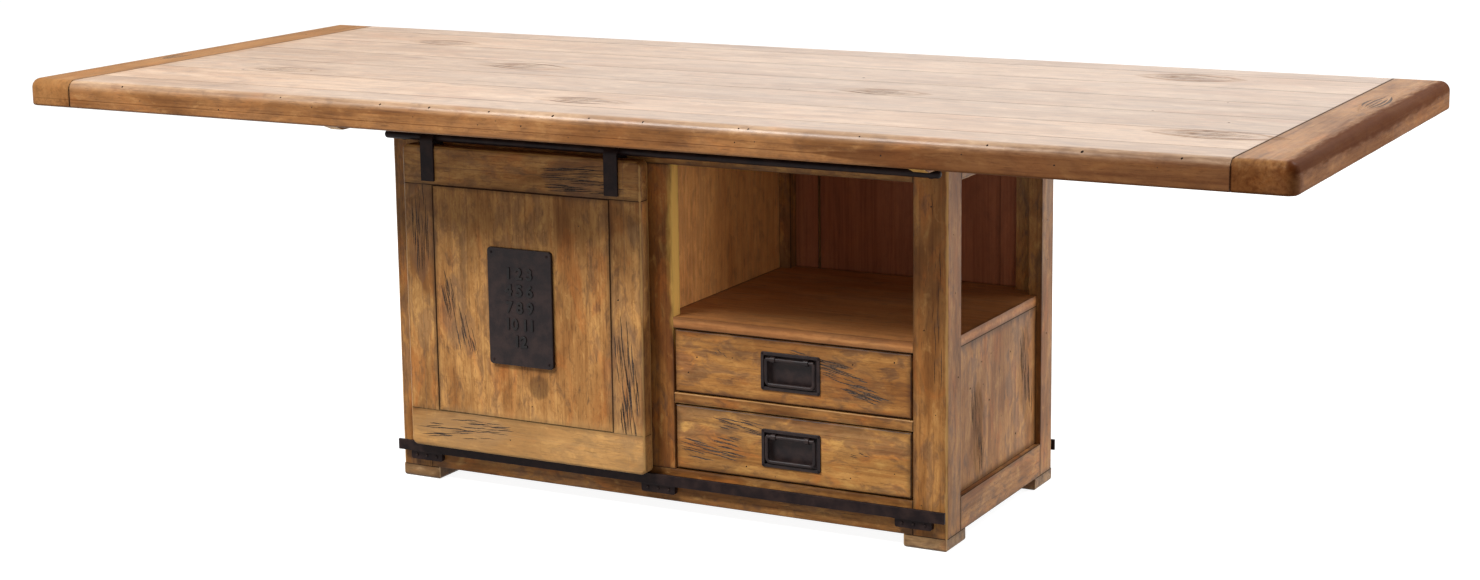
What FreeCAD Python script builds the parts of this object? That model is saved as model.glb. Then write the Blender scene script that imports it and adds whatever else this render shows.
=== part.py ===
"""Farmhouse dining table on a storage cabinet.

A breadboard-ended plank top stands on a framed cabinet with block feet. The cabinet is the same from
the front and, turned half round, from the rear: on each long side a door slides along a round rod
over a pair of drawers, and beside it a niche runs through the cabinet to the open end.
Sizes are in millimetres, +X along the table, +Y to the rear, +Z up from the floor.
"""
import FreeCAD, Part
import math
import os
import re

import Sketcher

doc = FreeCAD.newDocument("dining_table")
sheet = doc.addObject("Spreadsheet::Sheet", "Sizes")

# Driving sizes, one cell each
DRIVING_SIZES = {
    # plank top
    "table_length": 2480,
    "table_depth": 1000,
    "table_height": 770,
    "top_thickness": 52,
    "breadboard_width": 102,
    "edge_plank_width": 93,
    "field_plank_count": 5,
    "tongue_thickness": 16,
    "tongue_length": 22,
    "tongue_setback": 45,
    "groove_clearance": 1,
    "seam_gap": 1.5,
    "plank_arris": 0.8,
    "top_corner_radius": 20,
    "top_edge_radius": 18,
    "under_edge_radius": 5,
    # cleats under the top
    "cleat_width": 28,
    "cleat_thickness": 22,
    "cleat_end_thickness": 10,
    "cleat_bevel": 30,
    "cleat_length": 860,
    "cleat_gap": 3,
    # cabinet frame
    "cabinet_length": 1140,
    "cabinet_depth": 500,
    "foot_width": 83,
    "foot_height": 24,
    "foot_radius": 6,
    "frame_thickness": 26,
    "post_width": 65,
    "post_depth": 60,
    "post_corner_radius": 5,
    "frame_arris": 2,
    "divider_width": 64,
    "top_rail_height": 69,
    "bottom_rail_height": 62,
    "drawer_rail_height": 20,
    "lower_opening_height": 124,
    "upper_opening_height": 120,
    "shelf_thickness": 20,
    "partition_thickness": 16,
    "floor_thickness": 20,
    "end_panel_thickness": 12,
    "end_panel_recess": 10,
    "bay_panel_thickness": 12,
    "bay_panel_setback": 4,
    # drawers and their runners
    "drawer_gap": 2.5,
    "drawer_front_thickness": 22,
    "drawer_front_radius": 3,
    "drawer_side_gap": 4,
    "drawer_side_thickness": 14,
    "drawer_bottom_thickness": 8,
    "drawer_bottom_rise": 6,
    "drawer_box_length": 430,
    "drawer_box_headroom": 24,
    "drawer_box_lift": 8,
    "runner_height": 18,
    "runner_engagement": 7,
    "running_gap": 0.4,
    # recessed bail pulls
    "pull_width": 117,
    "pull_height": 70,
    "flange_thickness": 2.5,
    "flange_corner_radius": 4,
    "flange_edge_radius": 1,
    "pan_width": 105,
    "pan_height": 58,
    "pan_depth": 7.5,
    "pan_wall": 1.5,
    "bail_bar": 7,
    "bail_width": 101,
    "bail_height": 53,
    "bail_corner_radius": 8,
    "bail_stand": 3,
    "bail_drop": 0.8,
    "knuckle_length": 9,
    "knuckle_wall": 2,
    "knuckle_spacing": 66,
    "knuckle_clearance": 0.05,
    # sliding doors
    "door_width": 513,
    "door_inner_edge": 10,
    "door_thickness": 28,
    "door_gap": 10,
    "door_rail_height": 73,
    "door_stile_width": 65,
    "door_corner_radius": 12,
    "door_edge_radius": 5,
    "door_head_gap": 7,
    "door_foot_gap": 1,
    "tenon_thickness": 10,
    "tenon_length": 20,
    "tenon_shoulder": 12,
    "panel_tongue_thickness": 8,
    "panel_tongue_length": 8,
    "panel_seam": 1.5,
    "panel_thickness": 22,
    # plaque on each door
    "plaque_width": 138,
    "plaque_height": 221,
    "plaque_thickness": 7,
    "plaque_corner_radius": 7,
    "plaque_edge_radius": 1.5,
    # rods, straps and bars that carry and guide the doors
    "rod_diameter": 15,
    "rod_length": 1136,
    "rod_drop": 46.5,
    "rod_end_radius": 6,
    "standoff_diameter": 12,
    "standoff_flange_diameter": 26,
    "standoff_flange_thickness": 3,
    "strap_width": 28,
    "strap_thickness": 5,
    "strap_inset": 44.5,
    "strap_front_overlap": 66,
    "strap_back_overlap": 40,
    "strap_clearance": 0.3,
    "bar_length": 1142,
    "bar_height": 20,
    "bar_thickness": 6,
    "bar_rise": 32,
    "bar_end_chamfer": 1.5,
    "tab_width": 70,
    "tab_height": 30,
    "tab_top_drop": 7,
    "tab_spacing": 510,
    "tab_corner_radius": 4,
    "guide_width": 60,
    "guide_thickness": 2,
    "guide_overlap": 23,
    "guide_drop": 5,
    "guide_clearance": 0.3,
    "guide_inset": 60,
}

# Places and fits worked out from the driving sizes
DERIVED_SIZES = {
    "half_length": "table_length / 2",
    "half_depth": "table_depth / 2",
    "slab_underside": "table_height - top_thickness",
    "breadboard_inner": "half_length - breadboard_width",
    "plank_half_length": "breadboard_inner - seam_gap",
    "tongue_tip": "breadboard_inner + tongue_length",
    "tongue_low": "(top_thickness - tongue_thickness) / 2",
    "tongue_high": "(top_thickness + tongue_thickness) / 2",
    "field_plank_width": "(table_depth - 2 * edge_plank_width) / field_plank_count",
    "cabinet_end": "cabinet_length / 2",
    "cabinet_face": "cabinet_depth / 2",
    "frame_inner_end": "cabinet_end - frame_thickness",
    "frame_inner_face": "cabinet_face - frame_thickness",
    "post_inner_end": "cabinet_end - post_width",
    "post_inner_face": "cabinet_face - post_depth",
    "divider_half": "divider_width / 2",
    "partition_half": "partition_thickness / 2",
    "carcass_height": "slab_underside - foot_height",
    "lower_opening_low": "foot_height + bottom_rail_height",
    "drawer_rail_low": "lower_opening_low + lower_opening_height",
    "upper_opening_low": "drawer_rail_low + drawer_rail_height",
    "shelf_low": "upper_opening_low + upper_opening_height",
    "top_rail_low": "slab_underside - top_rail_height",
    "end_panel_face": "cabinet_end - end_panel_recess",
    "opening_width": "post_inner_end - divider_half",
    "opening_centre": "(post_inner_end + divider_half) / 2",
    "drawer_front_width": "opening_width - 2 * drawer_gap",
    "box_half_width": "opening_width / 2 - drawer_side_gap",
    "box_inner_half_width": "box_half_width - drawer_side_thickness",
    "box_front": "cabinet_face - drawer_front_thickness",
    "bail_pivot_rise": "(bail_height - bail_bar) / 2 - bail_drop",
    "bail_half_span": "(bail_width - bail_bar) / 2",
    "bail_reach": "bail_height - bail_bar",
    "door_back": "cabinet_face + door_gap",
    "door_face": "door_back + door_thickness",
    "door_centre": "door_inner_edge + door_width / 2",
    "bar_low": "foot_height + bar_rise",
    "bar_top": "bar_low + bar_height",
    "bar_back": "door_back + guide_clearance",
    "rod_height": "slab_underside - rod_drop",
    "rod_radius": "rod_diameter / 2",
    "rod_axis": "door_back + door_thickness / 2",
    "door_low": "bar_top + door_foot_gap",
    "door_top": "rod_height - rod_radius - door_head_gap",
    "door_height": "door_top - door_low",
    "door_opening_width": "door_width - 2 * door_stile_width",
    "door_opening_height": "door_height - 2 * door_rail_height",
    "tenon_width": "door_stile_width - 2 * tenon_shoulder",
    "panel_groove_depth": "panel_tongue_length + groove_clearance",
    "hook_radius": "door_thickness / 2",
    "hook_outer_radius": "hook_radius + strap_thickness",
    "hook_height": "rod_height + rod_radius + strap_clearance - hook_radius",
}

for row, (alias, number) in enumerate(DRIVING_SIZES.items(), start=1):
    sheet.set(f"A{row}", alias)
    sheet.set(f"B{row}", str(number))
    sheet.setAlias(f"B{row}", alias)
doc.recompute()


def expression(formula):
    """Writes a formula of size names as an expression on the sheet."""

    def spell_out(match):
        name = match.group(0)
        if name in DERIVED_SIZES:
            return "(" + expression(DERIVED_SIZES[name]) + ")"
        return "Sizes." + name

    return re.sub(r"[a-z]+(?:_[a-z]+)*", spell_out, formula)


def value(formula):
    """Reads a formula of size names as a plain number."""
    return float(sheet.evalExpression(expression(formula)))


def bind(thing, prop, formula):
    """Ties a property of the thing to a formula of size names."""
    thing.setExpression(prop, expression(formula))


def place(thing, x, y, z, turned=False):
    """Places a piece; turned gives its copy on the far side, half round the upright centre line."""
    if turned:
        half_turn = FreeCAD.Rotation(FreeCAD.Vector(0, 0, 1), 180)
        thing.Placement = FreeCAD.Placement(FreeCAD.Vector(), half_turn)
        x = f"-({x})"
        y = f"-({y})"
    bind(thing, "Placement.Base.x", x)
    bind(thing, "Placement.Base.y", y)
    bind(thing, "Placement.Base.z", z)


def sketch_on(body, plane, offset="0"):
    """Starts a sketch on one of the body's own origin planes, moved along that plane's normal."""
    sketch = body.newObject("Sketcher::SketchObject", body.Label + "_sketch")
    origin_plane = [part for part in body.Origin.OriginFeatures if part.Role == plane + "_Plane"][0]
    sketch.AttachmentSupport = [(origin_plane, "")]
    sketch.MapMode = "FlatFace"
    bind(sketch, "AttachmentOffset.Base.z", offset)
    return sketch


def bind_point(sketch, line, end, u, v):
    """Holds one point of the sketch at the formulas u and v."""
    for kind, formula in (("DistanceX", u), ("DistanceY", v)):
        index = sketch.addConstraint(Sketcher.Constraint(kind, -1, 1, line, end, value(formula)))
        bind(sketch, f"Constraints[{index}]", formula)


def draw_outline(sketch, points):
    """Draws a closed outline through the points, each a pair of formulas."""
    corners = [FreeCAD.Vector(value(u), value(v), 0) for u, v in points]
    first = sketch.GeometryCount
    count = len(points)
    for i in range(count):
        sketch.addGeometry(Part.LineSegment(corners[i], corners[(i + 1) % count]), False)
    for i in range(count):
        following = first + (i + 1) % count
        sketch.addConstraint(Sketcher.Constraint("Coincident", first + i, 2, following, 1))
    for i, (u, v) in enumerate(points):
        bind_point(sketch, first + i, 1, u, v)


def draw_circle(sketch, u, v, radius):
    """Draws a circle about the point u, v."""
    centre = FreeCAD.Vector(value(u), value(v), 0)
    upright = FreeCAD.Vector(0, 0, 1)
    line = sketch.addGeometry(Part.Circle(centre, upright, value(radius)), False)
    bind_point(sketch, line, 3, u, v)
    index = sketch.addConstraint(Sketcher.Constraint("Radius", line, value(radius)))
    bind(sketch, f"Constraints[{index}]", radius)


def rectangle(u_low, v_low, u_high, v_high):
    """Lists the corners of an upright rectangle."""
    return [(u_low, v_low), (u_high, v_low), (u_high, v_high), (u_low, v_high)]


def centred(width, height, u="0", v="0"):
    """Lists the corners of a rectangle about the point u, v."""
    return rectangle(
        f"{u} - ({width}) / 2", f"{v} - ({height}) / 2", f"{u} + ({width}) / 2", f"{v} + ({height}) / 2"
    )


def new_body(name, x="0", y="0", z="0", turned=False):
    """Starts a body at its place."""
    body = doc.addObject("PartDesign::Body", name)
    body.Label = name
    place(body, x, y, z, turned)
    return body


def finish_feature(body, feature, sketch, length, symmetric, reverse):
    """Gives a pad or pocket its sketch, length and direction."""
    feature.Profile = sketch
    bind(feature, "Length", length)
    feature.SideType = "Symmetric" if symmetric else "One side"
    feature.Reversed = reverse
    body.Tip = feature
    doc.recompute()


def pad(body, plane, points, length, offset="0", symmetric=False, reverse=False):
    """Adds a block with the outline drawn on the plane."""
    sketch = sketch_on(body, plane, offset)
    draw_outline(sketch, points)
    feature = body.newObject("PartDesign::Pad", body.Label + "_pad")
    finish_feature(body, feature, sketch, length, symmetric, reverse)


def pad_circles(body, plane, circles, length, offset="0", symmetric=False, reverse=False):
    """Adds a round bar, or a ring where two circles share a centre."""
    sketch = sketch_on(body, plane, offset)
    for u, v, radius in circles:
        draw_circle(sketch, u, v, radius)
    feature = body.newObject("PartDesign::Pad", body.Label + "_pad")
    finish_feature(body, feature, sketch, length, symmetric, reverse)


def finish_pocket(body, sketch, depth, symmetric, reverse):
    """Cuts the sketch into the body and checks that wood or metal came away."""
    before = body.Shape.Volume
    feature = body.newObject("PartDesign::Pocket", body.Label + "_pocket")
    finish_feature(body, feature, sketch, depth, symmetric, reverse)
    if not body.Shape.Volume < before:
        raise ValueError(body.Label + ": a pocket cut nothing")


def pocket(body, plane, points, depth, offset="0", symmetric=False, reverse=False):
    """Cuts a hollow with the outline drawn on the plane."""
    sketch = sketch_on(body, plane, offset)
    draw_outline(sketch, points)
    finish_pocket(body, sketch, depth, symmetric, reverse)


def pocket_circle(body, plane, u, v, radius, depth, offset="0", symmetric=False, reverse=False):
    """Cuts a round hole."""
    sketch = sketch_on(body, plane, offset)
    draw_circle(sketch, u, v, radius)
    finish_pocket(body, sketch, depth, symmetric, reverse)


def lies_on(edge, axis, level):
    """Tells whether the whole edge lies in the plane where the axis has that level."""
    box = edge.BoundBox
    low, high = {"x": (box.XMin, box.XMax), "y": (box.YMin, box.YMax), "z": (box.ZMin, box.ZMax)}[axis]
    slack = value("table_length") * 1e-6
    return abs(low - level) < slack and abs(high - level) < slack


def dress_edges(body, kind, size_name, formula, wanted):
    """Rounds or chamfers every edge of the body's tip that the test wants."""
    base = body.Tip
    shape = base.Shape
    names = [f"Edge{i}" for i, edge in enumerate(shape.Edges, start=1) if wanted(edge)]
    if not names:
        raise ValueError(body.Label + ": no edge to dress")
    feature = body.newObject("PartDesign::" + kind, body.Label + "_" + kind.lower())
    feature.Base = (base, names)
    bind(feature, size_name, formula)
    body.Tip = feature
    doc.recompute()


def round_edges(body, radius, wanted):
    """Rounds the wanted edges; wanted gets an edge and answers yes or no."""
    dress_edges(body, "Fillet", "Radius", radius, wanted)


def chamfer_edges(body, size, wanted):
    """Chamfers the wanted edges."""
    dress_edges(body, "Chamfer", "Size", size, wanted)


def box(name, x, y, z, length, width, height, turned=False):
    """Makes a plain squared board from its low corner."""
    board = doc.addObject("Part::Box", name)
    board.Label = name
    bind(board, "Length", length)
    bind(board, "Width", width)
    bind(board, "Height", height)
    place(board, x, y, z, turned)
    return board


def arris_board(name, x, y, z, length, width, height, turned=False):
    """Makes a board whose long front arrises are eased; its low corner is at the place."""
    body = new_body(name, x, y, z, turned)
    pad(body, "XY", rectangle("0", "0", length, width), height)
    longest = max(value(length), value(height))

    def front_arris(edge):
        return lies_on(edge, "y", 0) and abs(edge.Length - longest) < value("table_length") * 1e-6

    round_edges(body, "frame_arris", front_arris)
    return body


def cut(name, base, tool):
    """Cuts the tool out of the base."""
    result = doc.addObject("Part::Cut", name)
    result.Label = name
    result.Base = base
    result.Tool = tool
    return result


nodes = {}


def keep(name, pieces):
    """Keeps one piece, or a group of like pieces, as the named node."""
    if len(pieces) == 1:
        node = pieces[0]
    else:
        node = doc.addObject("Part::Compound", name)
        node.Links = pieces
    node.Label = name
    nodes[name] = node


SIDES = (("front", False), ("rear", True))
BOTH = (1, -1)


# Plank top: narrow edge planks, equal field planks, and breadboard ends that hold their tongues
def make_edge_plank(name, turned):
    plank = new_body(name, "0", "-half_depth", "slab_underside", turned)
    section = rectangle("0", "0", "edge_plank_width", "top_thickness")
    pad(plank, "YZ", section, "2 * plank_half_length", symmetric=True)
    top = value("top_thickness")
    inner = value("edge_plank_width")
    round_edges(plank, "top_edge_radius", lambda e: lies_on(e, "y", 0) and lies_on(e, "z", top))
    round_edges(plank, "under_edge_radius", lambda e: lies_on(e, "y", 0) and lies_on(e, "z", 0))
    chamfer_edges(plank, "plank_arris", lambda e: lies_on(e, "y", inner) and lies_on(e, "z", top))
    tongue = rectangle("tongue_setback", "tongue_low", "edge_plank_width", "tongue_high")
    pad(plank, "YZ", tongue, "2 * tongue_tip", symmetric=True)
    keep(name, [plank])


def make_field_plank(index):
    low_edge = f"edge_plank_width - half_depth + {index} * field_plank_width"
    plank = new_body(f"field_plank_{index}", "0", low_edge, "slab_underside")
    section = rectangle("0", "0", "field_plank_width", "top_thickness")
    pad(plank, "YZ", section, "2 * plank_half_length", symmetric=True)
    top = value("top_thickness")

    def is_end_edge(edge):
        half = value("plank_half_length")
        return lies_on(edge, "x", half) or lies_on(edge, "x", -half)

    def seam_arris(edge):
        return lies_on(edge, "z", top) and not is_end_edge(edge)

    chamfer_edges(plank, "plank_arris", seam_arris)
    tongue = rectangle("0", "tongue_low", "field_plank_width", "tongue_high")
    pad(plank, "YZ", tongue, "2 * tongue_tip", symmetric=True)
    return plank


def make_breadboard(name, turned):
    board = new_body(name, "breadboard_inner", "0", "slab_underside", turned)
    pad(board, "XY", rectangle("0", "-half_depth", "breadboard_width", "half_depth"), "top_thickness")
    groove_half = "(half_depth - tongue_setback)"
    groove = rectangle("-" + groove_half, "tongue_low", groove_half, "tongue_high")
    pocket(board, "YZ", groove, "tongue_length + groove_clearance", reverse=True)
    outer = value("breadboard_width")
    top = value("top_thickness")
    side = value("half_depth")

    def corner(edge):
        return lies_on(edge, "x", outer) and (lies_on(edge, "y", side) or lies_on(edge, "y", -side))

    def rim(level):
        return lambda edge: lies_on(edge, "z", level) and not lies_on(edge, "x", 0)

    round_edges(board, "top_corner_radius", corner)
    round_edges(board, "top_edge_radius", rim(top))
    round_edges(board, "under_edge_radius", rim(0))
    keep(name, [board])


def make_cleat(side):
    half = "cleat_length / 2"
    low_corner = "cabinet_end + cleat_gap" if side > 0 else "-(cabinet_end + cleat_gap + cleat_width)"
    cleat = new_body(f"cleat_{side}", low_corner, "0", "slab_underside")
    outline = [
        (f"-{half}", "0"),
        (f"-{half}", "-cleat_end_thickness"),
        (f"-{half} + cleat_bevel", "-cleat_thickness"),
        (f"{half} - cleat_bevel", "-cleat_thickness"),
        (half, "-cleat_end_thickness"),
        (half, "0"),
    ]
    pad(cleat, "YZ", outline, "cleat_width")
    return cleat


for side, turned in SIDES:
    make_edge_plank(f"edge_plank_{side}", turned)
plank_total = int(round(value("field_plank_count")))
keep("field_planks", [make_field_plank(index) for index in range(plank_total)])
make_breadboard("breadboard_right", False)
make_breadboard("breadboard_left", True)
keep("top_cleats", [make_cleat(side) for side in BOTH])


# Block feet, flush with the outside of the cabinet
def make_foot(x_side, y_side):
    x = f"{x_side} * (cabinet_end - foot_width / 2)"
    y = f"{y_side} * (cabinet_face - foot_width / 2)"
    foot = new_body(f"foot_{x_side}_{y_side}", x, y, "0")
    pad(foot, "XY", centred("foot_width", "foot_width"), "foot_height")
    round_edges(foot, "foot_radius", lambda edge: lies_on(edge, "z", 0))
    return foot


# Corner posts: an L of two boards, one to the long side and one to the end
def make_post(name, x_side, y_side):
    post = new_body(name, f"{x_side} * cabinet_end", f"{y_side} * cabinet_face", "foot_height")
    outline = [
        ("0", "0"),
        (f"{-x_side} * post_width", "0"),
        (f"{-x_side} * post_width", f"{-y_side} * frame_thickness"),
        (f"{-x_side} * frame_thickness", f"{-y_side} * frame_thickness"),
        (f"{-x_side} * frame_thickness", f"{-y_side} * post_depth"),
        ("0", f"{-y_side} * post_depth"),
    ]
    pad(post, "XY", outline, "carcass_height")
    inward_x = -x_side * value("post_width")
    inward_y = -y_side * value("post_depth")

    def opening_arris(edge):
        front = lies_on(edge, "x", inward_x) and lies_on(edge, "y", 0)
        end = lies_on(edge, "x", 0) and lies_on(edge, "y", inward_y)
        return front or end

    round_edges(post, "post_corner_radius", lambda e: lies_on(e, "x", 0) and lies_on(e, "y", 0))
    round_edges(post, "frame_arris", opening_arris)
    keep(name, [post])


keep("block_feet", [make_foot(x_side, y_side) for x_side in BOTH for y_side in BOTH])
for side, y_side in (("front", -1), ("rear", 1)):
    for end, x_side in (("left", -1), ("right", 1)):
        make_post(f"post_{side}_{end}", x_side, y_side)


# Rails and stiles between the posts; each turned copy closes the far side
def long_rail(name, z, height, turned):
    x = "-post_inner_end"
    return arris_board(name, x, "-cabinet_face", z, "2 * post_inner_end", "frame_thickness", height, turned)


def end_rail(name, z, height, turned):
    y = "-post_inner_face"
    return box(name, "frame_inner_end", y, z, "frame_thickness", "2 * post_inner_face", height, turned)


def make_shelf(name, turned):
    """A niche floor whose edges come flush with the frame, notched round the posts."""
    shelf = new_body(name, z="shelf_low", turned=turned)
    rear_half = [
        ("partition_half", "frame_inner_face"),
        ("divider_half", "frame_inner_face"),
        ("divider_half", "cabinet_face"),
        ("post_inner_end", "cabinet_face"),
        ("post_inner_end", "frame_inner_face"),
        ("frame_inner_end", "frame_inner_face"),
        ("frame_inner_end", "post_inner_face"),
        ("end_panel_face", "post_inner_face"),
    ]
    front_half = [(x, "-" + y) for x, y in reversed(rear_half)]
    pad(shelf, "XY", rear_half + front_half, "shelf_thickness")
    keep(name, [shelf])


def both_sides(name, make):
    """Keeps a piece and its turned copy as one node."""
    keep(name, [make(f"{name}_{side}", turned) for side, turned in SIDES])


def make_divider(name, turned):
    height = "top_rail_low - lower_opening_low"
    x = "-divider_half"
    y = "-cabinet_face"
    return arris_board(name, x, y, "lower_opening_low", "divider_width", "frame_thickness", height, turned)


def make_drawer_rail(name, turned):
    y = "-cabinet_face"
    length = "opening_width"
    return arris_board(
        name, "divider_half", y, "drawer_rail_low", length, "frame_thickness", "drawer_rail_height", turned
    )


def make_end_panel(name, turned):
    x = "end_panel_face - end_panel_thickness"
    width = "2 * post_inner_face"
    height = "shelf_low - lower_opening_low"
    return box(
        name, x, "-post_inner_face", "lower_opening_low", "end_panel_thickness", width, height, turned
    )


def make_bay_panel(name, turned):
    y = "cabinet_face - bay_panel_setback - bay_panel_thickness"
    height = "shelf_low - lower_opening_low"
    return box(
        name, "divider_half", y, "lower_opening_low", "opening_width", "bay_panel_thickness", height, turned
    )


both_sides("divider_stiles", make_divider)
both_sides("long_top_rails", lambda n, t: long_rail(n, "top_rail_low", "top_rail_height", t))
both_sides("long_bottom_rails", lambda n, t: long_rail(n, "foot_height", "bottom_rail_height", t))
both_sides("end_top_rails", lambda n, t: end_rail(n, "top_rail_low", "top_rail_height", t))
both_sides("end_bottom_rails", lambda n, t: end_rail(n, "foot_height", "bottom_rail_height", t))
both_sides("drawer_rails", make_drawer_rail)
both_sides("end_panels", make_end_panel)
both_sides("bay_panels", make_bay_panel)
make_shelf("niche_shelf_right", False)
make_shelf("niche_shelf_left", True)
partition = box(
    "partition",
    "-partition_half",
    "-frame_inner_face",
    "lower_opening_low",
    "partition_thickness",
    "2 * frame_inner_face",
    "slab_underside - lower_opening_low",
)
keep("partition", [partition])
cabinet_floor = box(
    "cabinet_floor",
    "-frame_inner_end",
    "-frame_inner_face",
    "lower_opening_low - floor_thickness",
    "2 * frame_inner_end",
    "2 * frame_inner_face",
    "floor_thickness",
)
keep("cabinet_floor", [cabinet_floor])

# Drawers: each bay has a lower and an upper one, hung on runners that fill grooves in the box sides
DRAWERS = {
    "lower": ("lower_opening_low", "lower_opening_height"),
    "upper": ("upper_opening_low", "upper_opening_height"),
}


def runner_low(opening_low, opening_height):
    """Height of the runners' underside, centred on the box sides."""
    box_height = f"({opening_height} - drawer_box_headroom)"
    return f"{opening_low} + drawer_box_lift + ({box_height} - runner_height) / 2"


def make_runners(side, turned):
    reach = "(runner_engagement - running_gap)"
    inner_tip = f"(opening_centre - box_half_width + {reach})"
    outer_tip = f"(opening_centre + box_half_width - {reach})"
    spans = {
        "inner": ("partition_half", f"{inner_tip} - partition_half"),
        "outer": (outer_tip, f"frame_inner_end - {outer_tip}"),
    }
    runners = []
    for level, (opening_low, opening_height) in DRAWERS.items():
        z = runner_low(opening_low, opening_height)
        for place_name, (x, length) in spans.items():
            name = f"runner_{side}_{level}_{place_name}"
            y = "-frame_inner_face"
            depth = "2 * frame_inner_face"
            runners.append(box(name, x, y, z, length, depth, "runner_height", turned))
    return runners


def make_drawer_front(name, opening_low, opening_height, turned):
    """Inset front with eased edges and a mortise for the pull's pan."""
    height = f"{opening_height} - 2 * drawer_gap"
    z = f"{opening_low} + ({opening_height}) / 2"
    front = new_body(name, "opening_centre", "-cabinet_face", z, turned)
    pad(front, "XZ", centred("drawer_front_width", height), "drawer_front_thickness", reverse=True)
    round_edges(front, "drawer_front_radius", lambda edge: lies_on(edge, "y", 0))
    mortise = centred("pan_width + 2 * pan_wall", "pan_height + 2 * pan_wall")
    pocket(front, "XZ", mortise, "pan_depth + pan_wall")
    keep(name, [front])


def make_drawer_box(name, opening_low, opening_height, turned):
    """Grooved sides, a back between them and a bottom held between sides, front and back."""
    low = f"{opening_low} + drawer_box_lift"
    height = f"{opening_height} - drawer_box_headroom"
    groove_low = f"{runner_low(opening_low, opening_height)} - running_gap"
    front = "-box_front"
    pieces = []
    for hand in BOTH:
        outer = f"opening_centre + {hand} * box_half_width"
        inner = f"opening_centre + {hand} * box_inner_half_width"
        side_low = outer if hand < 0 else inner
        groove_x = outer if hand < 0 else f"{outer} - runner_engagement"
        side = box(
            f"{name}_side_{hand}",
            side_low,
            front,
            low,
            "drawer_side_thickness",
            "drawer_box_length",
            height,
            turned,
        )
        groove = box(
            f"{name}_groove_{hand}",
            groove_x,
            front,
            groove_low,
            "runner_engagement",
            "drawer_box_length",
            "runner_height + 2 * running_gap",
            turned,
        )
        pieces.append(cut(f"{name}_grooved_side_{hand}", side, groove))
    inner_low = "opening_centre - box_inner_half_width"
    inner_width = "2 * box_inner_half_width"
    back_face = f"{front} + drawer_box_length - drawer_side_thickness"
    back = box(
        f"{name}_back", inner_low, back_face, low, inner_width, "drawer_side_thickness", height, turned
    )
    bottom = box(
        f"{name}_bottom",
        inner_low,
        front,
        f"{low} + drawer_bottom_rise",
        inner_width,
        "drawer_box_length - drawer_side_thickness",
        "drawer_bottom_thickness",
        turned,
    )
    keep(name, pieces + [back, bottom])


def make_pull_plate(name, z, turned):
    """Cast plate: a flange on the wood, a pan let into it, and two knuckles for the bail."""
    plate = new_body(name, "opening_centre", "-cabinet_face", z, turned)
    pad(plate, "XZ", centred("pull_width", "pull_height"), "flange_thickness")
    half_width = value("pull_width / 2")
    half_height = value("pull_height / 2")

    def flange_corner(edge):
        upright = lies_on(edge, "x", half_width) or lies_on(edge, "x", -half_width)
        return upright and (lies_on(edge, "z", half_height) or lies_on(edge, "z", -half_height))

    round_edges(plate, "flange_corner_radius", flange_corner)
    round_edges(plate, "flange_edge_radius", lambda e: lies_on(e, "y", -value("flange_thickness")))
    block = centred("pan_width + 2 * pan_wall", "pan_height + 2 * pan_wall")
    pad(plate, "XZ", block, "pan_depth + pan_wall", reverse=True)
    cavity = centred("pan_width", "pan_height")
    pocket(plate, "XZ", cavity, "pan_depth + flange_thickness", offset="flange_thickness")
    bore = "bail_bar / 2 + knuckle_clearance"
    outside = f"({bore} + knuckle_wall)"
    for hand in BOTH:
        middle = f"{hand} * knuckle_spacing / 2 - knuckle_length / 2"
        web = rectangle(
            "-bail_stand", f"bail_pivot_rise - {outside}", "pan_depth", f"bail_pivot_rise + {outside}"
        )
        pad(plate, "YZ", web, "knuckle_length", offset=middle)
        pad_circles(plate, "YZ", [("-bail_stand", "bail_pivot_rise", outside)], "knuckle_length", middle)
    span = "knuckle_spacing + 2 * knuckle_length"
    pocket_circle(plate, "YZ", "-bail_stand", "bail_pivot_rise", bore, span, symmetric=True)
    keep(name, [plate])


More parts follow.
